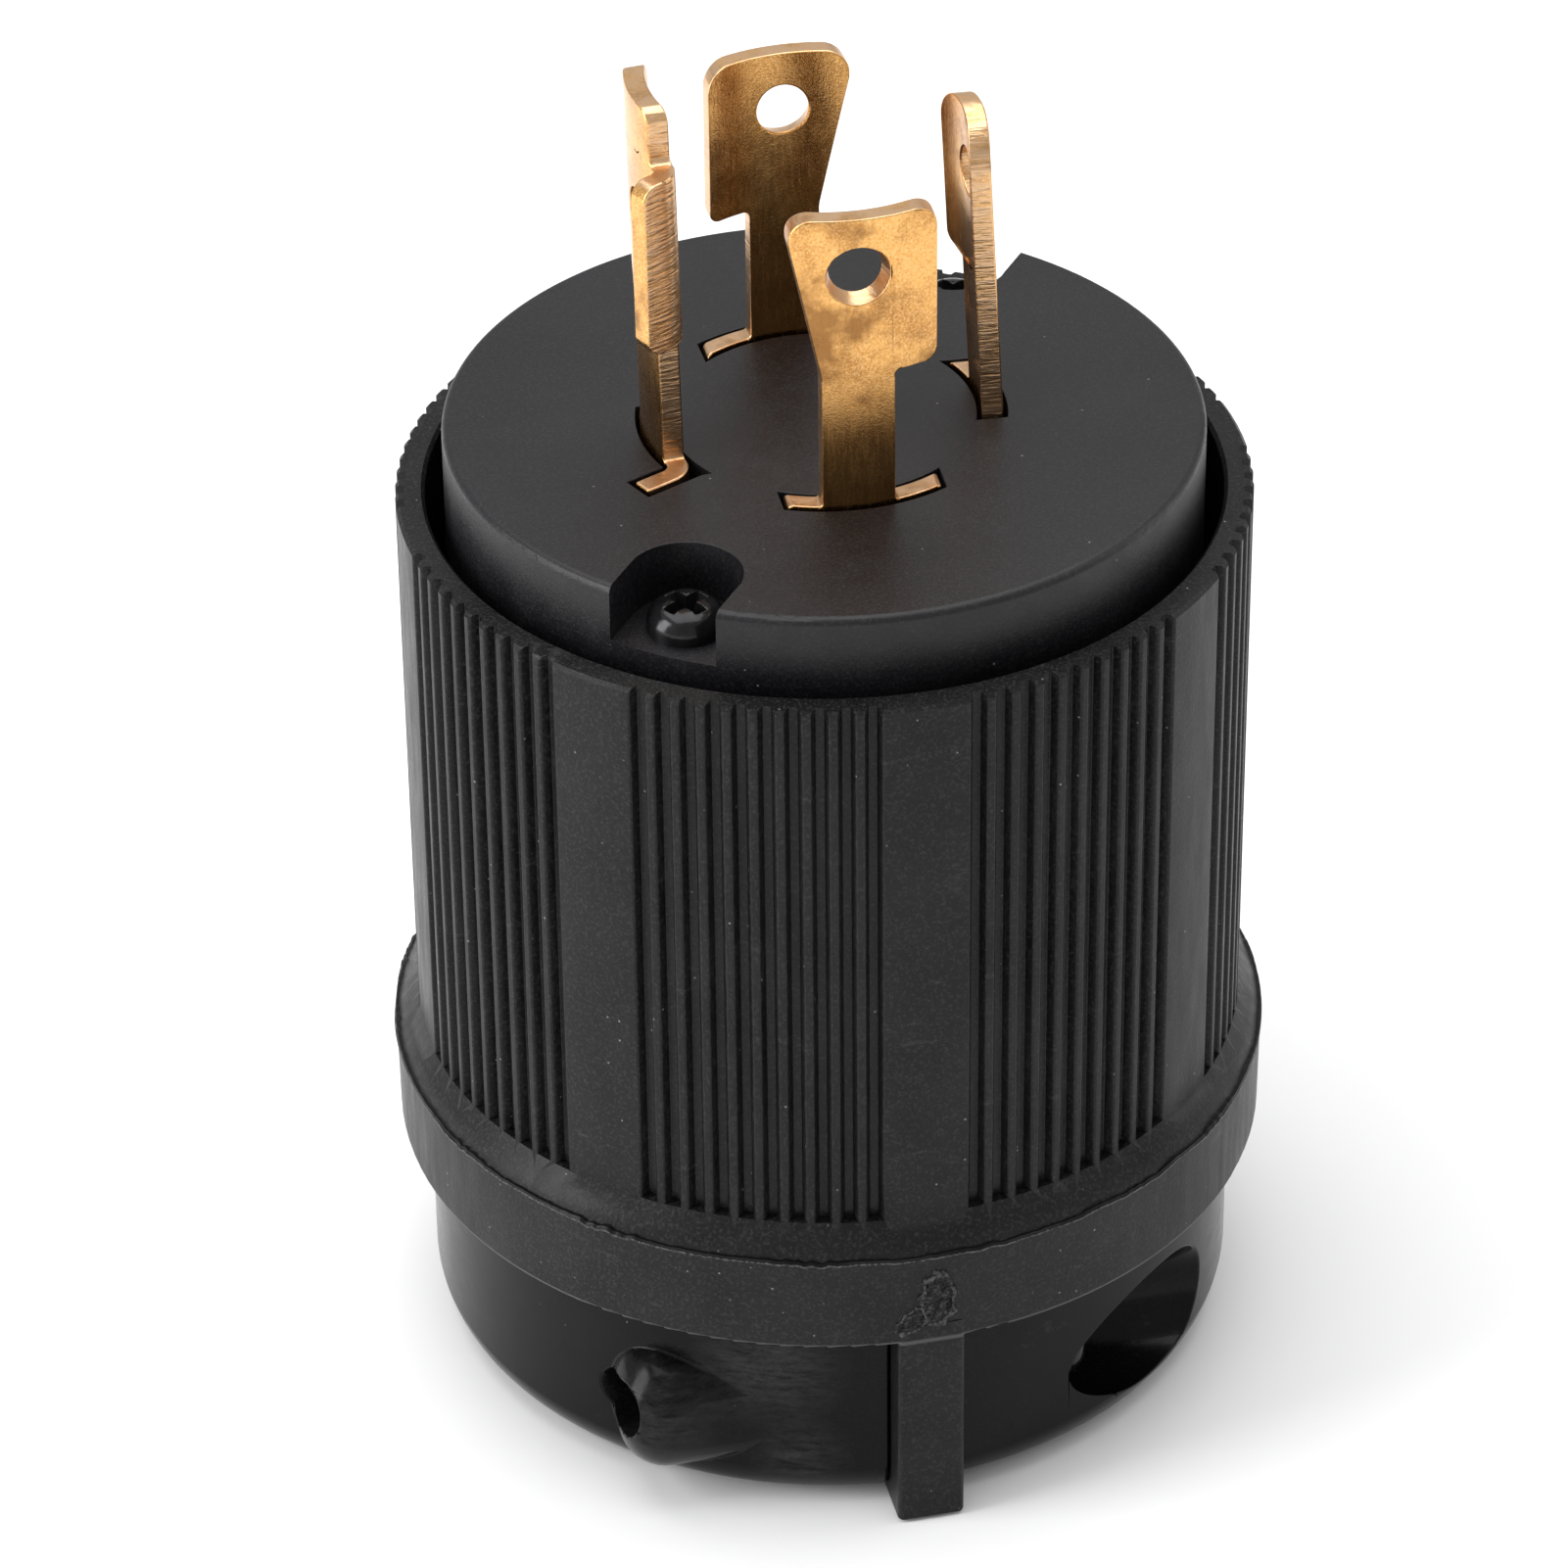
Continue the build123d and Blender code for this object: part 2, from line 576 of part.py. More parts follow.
# Clamp jaws, standing on the housing's floor
for name, sign in {"clamp_jaw_head_side": 1, "clamp_jaw_nut_side": -1}.items():
    with BuildPart() as jaw:
        with BuildSketch(plan(0, floor_thick)):
            clamp_shape(jaw_gap)
            with Locations((sign * jaw_opening / 2, 0)):
                Rectangle(2 * housing_r, 2 * housing_r, mode=Mode.INTERSECT,
                          align=(Align.MIN if sign > 0 else Align.MAX, Align.CENTER))
            Circle(jaw_bore_r, mode=Mode.SUBTRACT)
        extrude(amount=jaw_height)
        groove_pitch = jaw_height / jaw_groove_count
        for row in range(jaw_groove_count):
            groove_mid = floor_thick + (row + 0.5) * groove_pitch
            with BuildSketch(plan(0, groove_mid - jaw_groove_height / 2)):
                Circle(jaw_bore_r + jaw_groove_depth)
            extrude(amount=jaw_groove_height, mode=Mode.SUBTRACT)
        for side in (-1, 1):
            with BuildSketch(clamp_line(side)):
                Circle(clamp_screw_r + bolt_gap)
            extrude(amount=housing_r, both=True, mode=Mode.SUBTRACT)
    jaw.part.label = name
    export_step(jaw.part, f"parts/{name}.step")

# Clamp screws and their nuts
for name, side in {"front": -1, "back": 1}.items():
    line = clamp_line(side)
    screw = make_screw(line.offset(pocket_floor_x), clamp_screw_r,
                       pocket_floor_x + ear_cavity_depth + nut_thick, clamp_head_r, clamp_head_height)
    screw.label = f"clamp_screw_{name}"
    export_step(screw, f"parts/clamp_screw_{name}.step")
    with BuildPart() as nut:
        with BuildSketch(line.offset(-ear_cavity_depth)):
            RegularPolygon(nut_flats / 2, 6, major_radius=False)
            Circle(clamp_screw_r + thread_gap, mode=Mode.SUBTRACT)
        extrude(amount=-nut_thick)
    nut.part.label = f"clamp_nut_{name}"
    export_step(nut.part, f"parts/clamp_nut_{name}.step")

# Assembly screws and the threaded inserts they pull on
recess_floor_z = face_z - recess_depth
for name, angle in assembly_angles.items():
    a = radians(angle)
    centre = Vector(assembly_circle_r * cos(a), assembly_circle_r * sin(a), 0)
    seat = Plane(origin=centre + Vector(0, 0, recess_floor_z), x_dir=(cos(a), sin(a), 0), z_dir=(0, 0, 1))
    insert_z0 = rim_z - insert_length
    screw = make_screw(seat, assembly_screw_r, recess_floor_z - insert_z0 - insert_bite,
                       assembly_head_r, assembly_head_height)
    screw.label = f"assembly_screw_{name}"
    export_step(screw, f"parts/assembly_screw_{name}.step")
    with BuildPart() as insert:
        with BuildSketch(Plane(origin=centre + Vector(0, 0, insert_z0), z_dir=(0, 0, 1))):
            Circle(insert_r)
            Circle(assembly_screw_r + thread_gap, mode=Mode.SUBTRACT)
        extrude(amount=insert_length)
    insert.part.label = f"threaded_insert_{name}"
    export_step(insert.part, f"parts/threaded_insert_{name}.step")
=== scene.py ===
import json
import math

import bmesh
import bpy
from mathutils import Matrix, Quaternion, Vector, noise
from mathutils.bvhtree import BVHTree


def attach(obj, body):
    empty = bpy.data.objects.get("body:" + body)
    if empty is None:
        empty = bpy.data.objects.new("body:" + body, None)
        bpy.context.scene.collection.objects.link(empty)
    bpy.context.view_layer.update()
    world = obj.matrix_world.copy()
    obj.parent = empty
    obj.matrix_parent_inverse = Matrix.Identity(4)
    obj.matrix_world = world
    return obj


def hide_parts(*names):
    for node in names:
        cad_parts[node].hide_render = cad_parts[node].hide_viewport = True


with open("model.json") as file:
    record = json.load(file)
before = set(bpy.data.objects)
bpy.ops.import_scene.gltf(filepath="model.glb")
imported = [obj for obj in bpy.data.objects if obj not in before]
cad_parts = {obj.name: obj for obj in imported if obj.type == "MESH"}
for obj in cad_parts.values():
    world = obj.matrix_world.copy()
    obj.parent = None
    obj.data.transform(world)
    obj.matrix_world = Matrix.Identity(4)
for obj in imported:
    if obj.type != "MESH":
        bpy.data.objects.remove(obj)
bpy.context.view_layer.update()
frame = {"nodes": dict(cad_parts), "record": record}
nodes = frame["nodes"]
scene = bpy.context.scene
mm = 0.001
mergeGap = 0.000001              # corners nearer than this are one, in metres
cutMergeGap = 0.000002           # the same after a cut
flatAngle = math.radians(0.2)    # faces that meet flatter than this are one


# The camera stands at the picture's view angle.
cameraLook = {
    "aim": (0.0, 0.0, 66.7),      # middle of the sleeve's top, in mm
    "distance": 476.2,
    "azimuth": 346.95,            # 0 looks along +Y
    "elevation": 31.81,
    "yaw": 0.347,                 # small turns that put the aim above the picture's middle
    "pitch": -2.505,
    "roll": -0.441,
    "lens": 161.7,
    "sensor": 36,
    "clip": (0.01, 20),           # nearest and farthest that it sees, in metres
}


def placeCamera(look):
    azimuth = math.radians(look["azimuth"])
    elevation = math.radians(look["elevation"])
    aim = Vector(look["aim"]) * mm
    away = Vector((math.cos(elevation) * math.sin(azimuth),
                   -math.cos(elevation) * math.cos(azimuth), math.sin(elevation)))
    data = bpy.data.cameras.new("camera")
    data.lens = look["lens"]
    data.sensor_width = look["sensor"]
    data.clip_start, data.clip_end = look["clip"]
    camera = bpy.data.objects.new("camera", data)
    scene.collection.objects.link(camera)
    camera.location = aim + away * look["distance"] * mm
    turn = (-away).to_track_quat("-Z", "Y")
    turn = turn @ Quaternion((1, 0, 0), math.radians(look["pitch"]))
    turn = turn @ Quaternion((0, 1, 0), math.radians(look["yaw"]))
    turn = turn @ Quaternion((0, 0, 1), math.radians(look["roll"]))
    camera.rotation_mode = "QUATERNION"
    camera.rotation_quaternion = turn
    scene.camera = camera


placeCamera(cameraLook)
print("camera placed")


def startMaterial(name):
    material = bpy.data.materials.new(name)
    material.use_nodes = True
    tree = material.node_tree
    tree.nodes.clear()
    out = tree.nodes.new("ShaderNodeOutputMaterial")
    shader = tree.nodes.new("ShaderNodeBsdfPrincipled")
    tree.links.new(shader.outputs[0], out.inputs["Surface"])
    return material, tree, shader


def addNoise(tree, where, scale, detail=3.0, rough=0.55, stretch=None):
    # noise in object space, stretched along an axis where asked
    source = where
    if stretch:
        mapping = tree.nodes.new("ShaderNodeMapping")
        mapping.inputs["Scale"].default_value = stretch
        tree.links.new(where, mapping.inputs["Vector"])
        source = mapping.outputs["Vector"]
    node = tree.nodes.new("ShaderNodeTexNoise")
    node.inputs["Scale"].default_value = scale
    node.inputs["Detail"].default_value = detail
    node.inputs["Roughness"].default_value = rough
    tree.links.new(source, node.inputs["Vector"])
    return node.outputs["Fac"]


def addRange(tree, value, low, high, outLow, outHigh):
    node = tree.nodes.new("ShaderNodeMapRange")
    node.inputs["From Min"].default_value = low
    node.inputs["From Max"].default_value = high
    node.inputs["To Min"].default_value = outLow
    node.inputs["To Max"].default_value = outHigh
    tree.links.new(value, node.inputs["Value"])
    return node.outputs["Result"]


def addMath(tree, operation, a, b):
    node = tree.nodes.new("ShaderNodeMath")
    node.operation = operation
    for socket, value in zip(node.inputs, (a, b)):
        if isinstance(value, (int, float)):
            socket.default_value = value
        else:
            tree.links.new(value, socket)
    return node.outputs["Value"]


def addBlend(tree, share, first, second):
    node = tree.nodes.new("ShaderNodeMix")
    node.data_type = "RGBA"
    sockets = (node.inputs["Factor"], node.inputs["A"], node.inputs["B"])
    for socket, value in zip(sockets, (share, first, second)):
        if isinstance(value, tuple):
            socket.default_value = (*value, 1) if len(value) == 3 else value
        elif isinstance(value, (int, float)):
            socket.default_value = value
        else:
            tree.links.new(value, socket)
    return node.outputs["Result"]


def addBump(tree, height, distance, strength=1.0, below=None):
    node = tree.nodes.new("ShaderNodeBump")
    node.inputs["Distance"].default_value = distance
    node.inputs["Strength"].default_value = strength
    tree.links.new(height, node.inputs["Height"])
    if below is not None:
        tree.links.new(below, node.inputs["Normal"])
    return node.outputs["Normal"]


# painted shade: the near-black tone put in cracks and narrow gaps
paintedShadeTone = (0.0008, 0.0008, 0.0008)    # in cracks and narrow gaps


def mouldedPlastic(name, look):
    # dark moulded plastic: cloudy tone, fine grain, flow marks and a few pale specks, with painted shade in cracks and,
    # where asked, a painted highlight line and patches of painted sheen
    material, tree, shader = startMaterial(name)
    where = tree.nodes.new("ShaderNodeTexCoord").outputs["Object"]
    cloud = addNoise(tree, where, look["cloudScale"], 4)
    grain = addNoise(tree, where, look["grainScale"], 2, 0.7)
    flow = addNoise(tree, where, look["flowScale"], 3, 0.6, look["flowStretch"])
    tone = addBlend(tree, addRange(tree, cloud, 0.35, 0.68, 0, 1), look["dark"], look["pale"])
    cells = tree.nodes.new("ShaderNodeTexVoronoi")
    cells.inputs["Scale"].default_value = look["speckScale"]
    tree.links.new(where, cells.inputs["Vector"])
    near = addRange(tree, cells.outputs["Distance"], look["speckSize"], look["speckSize"] * 0.6, 0, 1)
    pick = tree.nodes.new("ShaderNodeSeparateColor")
    tree.links.new(cells.outputs["Color"], pick.inputs["Color"])
    rare = addRange(tree, pick.outputs["Red"], 1 - look["speckShare"], 1 - look["speckShare"] * 0.4, 0, 1)
    specks = addMath(tree, "MULTIPLY", near, rare)
    tone = addBlend(tree, specks, tone, look["speck"])
    mark = tree.nodes.new("ShaderNodeAttribute")
    mark.attribute_name = "mark"    # 1 on scars and moulding marks
    wearAndHighlight = addMath(tree, "MULTIPLY", mark.outputs["Fac"], addRange(tree, grain, 0.40, 0.62, 0, 1))
    scuff = addNoise(tree, where, look["scuffScale"], 5, 0.75, look["scuffStretch"])
    wearAndHighlight = addMath(tree, "MAXIMUM", wearAndHighlight, addRange(tree, scuff, 0.62, 0.76, 0, look["scuffShare"]))
    tone = addBlend(tree, addRange(tree, grain, 0.50, 0.68, 0, look["grainShare"]), tone, look["wearAndHighlight"])
    if "edgeHighlight" in look:
        # a thin line along a lower edge painted paler: a painted highlight
        level = tree.nodes.new("ShaderNodeSeparateXYZ")
        tree.links.new(where, level.inputs[0])
        far = addMath(tree, "ABSOLUTE", addMath(tree, "SUBTRACT", level.outputs["Z"], look["edgeHighlight"]), 0)
        wearAndHighlight = addMath(tree, "MAXIMUM", wearAndHighlight, addRange(tree, far, *look["edgeHighlightWidth"], 0, 0.8))
    tone = addBlend(tree, wearAndHighlight, tone, look["wearAndHighlight"])
    # pale patches: partly painted sheen, partly rubbed plastic
    for place, reach, strength in look.get("sheenAndRubs", ()):
        gap = tree.nodes.new("ShaderNodeVectorMath")
        gap.operation = "DISTANCE"
        gap.inputs[1].default_value = place
        tree.links.new(where, gap.inputs[0])
        near = addRange(tree, gap.outputs["Value"], reach, reach * 0.25, 0, strength)
        fuzz = addNoise(tree, where, 900, 5, 0.8, (0.6, 0.6, 2.2))
        patch = addMath(tree, "MULTIPLY", near, addRange(tree, fuzz, 0.36, 0.72, 0, 1))
        tone = addBlend(tree, patch, tone, look["wearAndHighlight"])
    # painted shade: cracks, the gap above the moulding line and the scar's pits are darkened to near black
    paintedShade = tree.nodes.new("ShaderNodeAttribute")
    paintedShade.attribute_name = "paintedShade"    # 1 in cracks
    tone = addBlend(tree, paintedShade.outputs["Fac"], tone, paintedShadeTone)
    tree.links.new(tone, shader.inputs["Base Color"])
    mixed = addMath(tree, "ADD", addMath(tree, "MULTIPLY", flow, 0.6), addMath(tree, "MULTIPLY", grain, 0.4))
    rough = addRange(tree, mixed, 0.3, 0.7, *look["roughness"])
    tree.links.new(rough, shader.inputs["Roughness"])
    soft = addBump(tree, cloud, look["waviness"])
    fine = addBump(tree, grain, look["grainDepth"], 1.0, soft)
    tree.links.new(fine, shader.inputs["Normal"])
    shader.inputs["Specular IOR Level"].default_value = look["specular"]
    return material


# Finishes: colours are linear, scales count per metre, and depths, widths and places are in metres.
sleeveFinish = {
    "dark": (0.0046, 0.0046, 0.0047), "pale": (0.0095, 0.0095, 0.0097), "roughness": (0.28, 0.50),
    "cloudScale": 160, "grainScale": 4200, "flowScale": 900, "flowStretch": (1, 1, 0.18),
    "speckScale": 1500, "speckSize": 0.14, "speckShare": 0.09, "speck": (0.20, 0.20, 0.20),
    "scuffScale": 320, "scuffStretch": (0.5, 0.5, 2.4), "scuffShare": 0.5, "wearAndHighlight": (0.085, 0.085, 0.085),
    "waviness": 0.00005, "grainDepth": 0.000022, "grainShare": 0.22, "specular": 0.18,
    "edgeHighlight": 0.01592, "edgeHighlightWidth": (0.00022, 0.00008),    # height of the line painted paler as a highlight, and its soft and full half width
}
coreFinish = {
    "dark": (0.0040, 0.0033, 0.0046), "pale": (0.0078, 0.0070, 0.0086), "roughness": (0.34, 0.50),
    "cloudScale": 70, "grainScale": 4200, "flowScale": 500, "flowStretch": (1, 1, 1),
    "speckScale": 1300, "speckSize": 0.12, "speckShare": 0.05, "speck": (0.16, 0.16, 0.16),
    "scuffScale": 500, "scuffStretch": (1, 1, 1), "scuffShare": 0.15, "wearAndHighlight": (0.07, 0.07, 0.07),
    "waviness": 0.00004, "grainDepth": 0.000018, "grainShare": 0.14, "specular": 0.37,
}
housingFinish = {
    "dark": (0.0020, 0.0020, 0.0021), "pale": (0.0042, 0.0042, 0.0043), "roughness": (0.12, 0.26),
    "cloudScale": 120, "grainScale": 3800, "flowScale": 700, "flowStretch": (0.5, 0.5, 1),
    "speckScale": 1400, "speckSize": 0.12, "speckShare": 0.05, "speck": (0.12, 0.12, 0.12),
    "scuffScale": 240, "scuffStretch": (1, 1, 1.6), "scuffShare": 0.5, "wearAndHighlight": (0.045, 0.045, 0.046),
    "waviness": 0.00004, "grainDepth": 0.000006, "grainShare": 0.06, "specular": 0.12,
    # pale patches on and beside the boss, partly painted sheen and partly rubbed plastic: place, reach and strength
    "sheenAndRubs": [((-0.0105, -0.0265, 0.0125), 0.0060, 0.9), ((-0.0085, -0.0270, 0.0045), 0.0040, 0.6),
               ((-0.0180, -0.0245, 0.0085), 0.0050, 0.6)],
}
retainerFinish = dict(coreFinish, dark=(0.02, 0.02, 0.02), pale=(0.03, 0.03, 0.03))

brassFinish = {
    "deep": (0.36, 0.155, 0.040), "mid": (0.78, 0.41, 0.125), "light": (0.93, 0.60, 0.27),
    "sheared": (0.76, 0.50, 0.30), "tarnishAndReflection": (0.26, 0.120, 0.040), "roughness": (0.14, 0.29),
    "cloudScale": 300, "grainScale": 6200, "streak": (1, 1, 0.10), "shearScale": 4200,
    # the last height here is where the painted dark reflection starts, darkening the blades towards their roots
    "shearStretch": (0.12, 0.12, 1), "grainDepth": 0.000013, "shearDepth": 0.000070, "paintedReflectionBelow": 0.0765,
}
plainBrass = dict(brassFinish, shearDepth=0.000006, grainDepth=0.000003)


def stampedBrass(name, look):
    # rolled faces with a fine streaky grain, sheared edges with coarse ridges across them, tarnish blotches, and a
    # painted dark reflection low on the blade
    material, tree, shader = startMaterial(name)
    where = tree.nodes.new("ShaderNodeTexCoord").outputs["Object"]
    cloud = addNoise(tree, where, look["cloudScale"], 5, 0.6)
    grain = addNoise(tree, where, look["grainScale"], 3, 0.7)
    streak = addNoise(tree, where, look["grainScale"] * 0.6, 3, 0.7, look["streak"])
    shear = addNoise(tree, where, look["shearScale"], 2, 0.6, look["shearStretch"])
    blotch = addNoise(tree, where, look["cloudScale"] * 0.6, 4, 0.65)
    # a face points away from the axis, a sheared edge points round it or up
    flat = tree.nodes.new("ShaderNodeVectorMath")
    flat.operation = "MULTIPLY"
    flat.inputs[1].default_value = (1, 1, 0)
    tree.links.new(where, flat.inputs[0])
    unit = tree.nodes.new("ShaderNodeVectorMath")
    unit.operation = "NORMALIZE"
    tree.links.new(flat.outputs["Vector"], unit.inputs[0])
    facing = tree.nodes.new("ShaderNodeVectorMath")
    facing.operation = "DOT_PRODUCT"
    tree.links.new(unit.outputs["Vector"], facing.inputs[0])
    tree.links.new(tree.nodes.new("ShaderNodeNewGeometry").outputs["Normal"], facing.inputs[1])
    away = addMath(tree, "ABSOLUTE", facing.outputs["Value"], 0)
    edge = addRange(tree, away, 0.75, 0.45, 0, 1)
    height = tree.nodes.new("ShaderNodeSeparateXYZ")
    tree.links.new(where, height.inputs[0])
    # painted dark reflection: the blade darkens towards its root, below the given height, in place of the dark core
    # face it reflects
    low = addRange(tree, height.outputs["Z"], look["paintedReflectionBelow"] + 0.006, look["paintedReflectionBelow"], 0, 0.6)
    tone = addBlend(tree, addRange(tree, cloud, 0.34, 0.56, 0.25, 1), look["deep"], look["mid"])
    tone = addBlend(tree, addRange(tree, grain, 0.45, 0.66, 0, 0.6), tone, look["light"])
    # random tarnish blotches together with the painted dark reflection
    tarnishAndReflectionShare = addMath(tree, "MAXIMUM", low, addRange(tree, blotch, 0.52, 0.66, 0, 0.85))
    tone = addBlend(tree, tarnishAndReflectionShare, tone, look["tarnishAndReflection"])
    tone = addBlend(tree, addRange(tree, grain, 0.44, 0.34, 0, 0.45), tone, look["deep"])
    ridged = addMath(tree, "MULTIPLY", edge, addRange(tree, shear, 0.38, 0.56, 0.35, 0.9))
    tone = addBlend(tree, ridged, tone, look["sheared"])
    tree.links.new(tone, shader.inputs["Base Color"])
    matt = addMath(tree, "ADD", addMath(tree, "MULTIPLY", edge, 0.5), addMath(tree, "MULTIPLY", tarnishAndReflectionShare, 0.25))
    rough = addRange(tree, addMath(tree, "ADD", streak, matt), 0.3, 0.8, *look["roughness"])
    tree.links.new(rough, shader.inputs["Roughness"])
    shader.inputs["Metallic"].default_value = 1.0
    grooves = addMath(tree, "ADD", grain, addMath(tree, "MULTIPLY", streak, 0.8))
    fine = addBump(tree, grooves, look["grainDepth"])
    ridges = addBump(tree, addMath(tree, "MULTIPLY", shear, edge), look["shearDepth"], 1.0, fine)
    tree.links.new(ridges, shader.inputs["Normal"])
    return material


def screwMetal(name, look):
    material, tree, shader = startMaterial(name)
    where = tree.nodes.new("ShaderNodeTexCoord").outputs["Object"]
    cloud = addNoise(tree, where, look["cloudScale"], 4)
    grain = addNoise(tree, where, look["grainScale"], 3, 0.7)
    tone = addBlend(tree, addRange(tree, cloud, 0.35, 0.65, 0, 1), look["dark"], look["pale"])
    tree.links.new(tone, shader.inputs["Base Color"])
    tree.links.new(addRange(tree, grain, 0.3, 0.7, *look["roughness"]), shader.inputs["Roughness"])
    tree.links.new(addBump(tree, grain, look["grainDepth"]), shader.inputs["Normal"])
    shader.inputs["Metallic"].default_value = look["metallic"]
    return material


blackScrewFinish = {
    "dark": (0.010, 0.010, 0.011), "pale": (0.024, 0.023, 0.025), "roughness": (0.10, 0.24),
    "cloudScale": 500, "grainScale": 2200, "grainDepth": 0.000006, "metallic": 0.6,
}
steelFinish = {
    "dark": (0.42, 0.42, 0.43), "pale": (0.62, 0.62, 0.63), "roughness": (0.25, 0.42),
    "cloudScale": 400, "grainScale": 2600, "grainDepth": 0.000006, "metallic": 1.0,
}

finishes = {
    "sleeve_black": mouldedPlastic("sleevePlastic", sleeveFinish),
    "core_black": mouldedPlastic("corePlastic", coreFinish),
    "retainer_black": mouldedPlastic("retainerPlastic", retainerFinish),
    "housing_black": mouldedPlastic("housingPlastic", housingFinish),
    "blade_brass": stampedBrass("bladeBrass", brassFinish),
    "terminal_brass": stampedBrass("terminalBrass", plainBrass),
    "screw_black": screwMetal("blackScrew", blackScrewFinish),
    "nut_steel": screwMetal("nutSteel", steelFinish),
}
slotOf = {entry["node"]: entry["material_slot"] for entry in frame["record"]["subparts"]}
for name, node in nodes.items():
    node.data.materials.clear()
    node.data.materials.append(finishes[slotOf[name]])
print("finishes made:", len(finishes))


def addPiece(name, bm, slot, stands=()):
    bmesh.ops.recalc_face_normals(bm, faces=bm.faces)
    if bm.calc_volume(signed=True) < 0:
        bmesh.ops.reverse_faces(bm, faces=bm.faces)
    mesh = bpy.data.meshes.new(name)
    bm.to_mesh(mesh)
    bm.free()
    mesh.shade_smooth()
    mesh.materials.append(finishes[slot])
    piece = bpy.data.objects.new(name, mesh)
    scene.collection.objects.link(piece)
    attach(piece, "root")
    if stands:
        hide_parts(*stands)
    return piece


def mergeFaces(bm, gap):
    # loose triangles become closed faces
    bmesh.ops.remove_doubles(bm, verts=bm.verts, dist=gap)
    bmesh.ops.dissolve_limit(bm, angle_limit=flatAngle, verts=bm.verts, edges=bm.edges)
    return bm


def mergedCopy(name):
    bm = bmesh.new()
    bm.from_mesh(nodes[name].data)
    return mergeFaces(bm, mergeGap)


strayShare = 0.4    # a corner that lies this share of the round off the surface is stray


def roundEdges(bm, offset, segments, wanted=None, sharp=40):
    # every crisp edge, or the wanted ones of them, is broken by a small round
    crisp = [e for e in bm.edges
             if e.calc_face_angle(0) > math.radians(sharp) and (wanted is None or wanted(e))]
    before = BVHTree.FromBMesh(bm)
    bmesh.ops.bevel(bm, geom=crisp, offset=offset * mm, offset_type="OFFSET", affect="EDGES", segments=segments,
                    profile=0.5, clamp_overlap=False, material=-1)
    for vert in bm.verts:
        # a corner thrown off the surface comes back to it
        place, normal, face, gap = before.find_nearest(vert.co)
        if gap > strayShare * offset * mm:
            vert.co = place


wallFacing = 0.985    # a face that looks this straight from the axis is part of a turned wall
blendFacing = 0.8     # faces that look this much the same way share a normal


def evenShade(piece, turnedWalls=True):
    # exact normals on turned walls, flat ones elsewhere, and small rounds blended between
    mesh = piece.data
    around = [[] for v in mesh.vertices]
    walls = []
    for polygon in mesh.polygons:
        level = Vector((polygon.center.x, polygon.center.y, 0)).normalized()
        out = polygon.normal.dot(level)
        side = 0 if abs(out) < wallFacing or not turnedWalls else 1 if out > 0 else -1
        walls.append(side)
        for index in polygon.vertices:
            co = mesh.vertices[index].co
            normal = Vector((co.x, co.y, 0)).normalized() * side if side else polygon.normal.copy()
            around[index].append((normal, polygon.area))
    normals = [Vector()] * len(mesh.loops)
    for polygon, side in zip(mesh.polygons, walls):
        for loop in polygon.loop_indices:
            index = mesh.loops[loop].vertex_index
            co = mesh.vertices[index].co
            own = Vector((co.x, co.y, 0)).normalized() * side if side else polygon.normal
            if not side:
                alike = [n * size for n, size in around[index] if n.dot(own) > blendFacing]
                own = sum(alike, Vector()).normalized()
            normals[loop] = own
    mesh.normals_split_custom_set(normals)
    return piece


sheetFacing = 0.96      # a face that looks this straight from the axis is a side of the sheet
smallestSide = 2e-8     # in square metres; smaller faces belong to the rounds
sheetSlack = 0.03       # how far in mm a corner may lie off the sheet's side


def sheetShade(piece, angle, circle, lean, rise, face, thick):
    # normals straight out from the axis on a bent sheet, and even ones on its edges
    mesh = piece.data
    turn = Matrix.Rotation(math.radians(angle), 3, "Z")
    back = turn.inverted()
    sums = [Vector() for v in mesh.vertices]
    sheet = [0.0] * len(mesh.vertices)
    for polygon in mesh.polygons:
        x, t, z = back @ polygon.center
        out = (back @ polygon.normal).dot(Vector((x, t, 0)).normalized())
        for index in polygon.vertices:
            sums[index] += polygon.normal * polygon.area
            if abs(out) > sheetFacing and polygon.area > smallestSide:
                sheet[index] = 1.0 if out > 0 else -1.0
    normals = []
    for vert, total, side in zip(mesh.vertices, sums, sheet):
        x, t, z = back @ vert.co / mm
        x -= lean * max(z - face, 0) / rise
        if side and abs(math.hypot(x, t) - circle - side * thick / 2) < sheetSlack:
            total = turn @ Vector((x, t, -lean / rise if z > face else 0)) * side
        normals.append(total.normalized())
    mesh.normals_split_custom_set_from_vertices(normals)


# Blades: the CAD shapes with corners, heights and holes moved a little. Sizes are in mm, heights from the face.
bladeShape = {
    "face": 71.7,                             # the core's face above the plug's foot
    "thick": 1.45,
    "edgeRound": 0.16,
    "holeHeight": 17.4,
    "holeCad": 2.1, "holeInner": 1.78,        # the hole's radius, as built and on the inner side
    "hookCad": 9.85, "hookUnder": 10.0,       # the hook's underside, as built and as shown
    "lipTopUp": 1.0, "lipEndOut": 0.35,       # growth of the ground blade's lip
    "hookZone": (9.2, 11.1), "lipZone": (20.2, 22.3), "lipFrom": 13.2,    # where that blade's corners lie
    "topFrom": 20, "hookFrom": 2.4,           # straight ends are above the one or beyond the other
    "slack": 0.02, "holeSlack": 0.03,         # how far a corner may lie off its arc
}
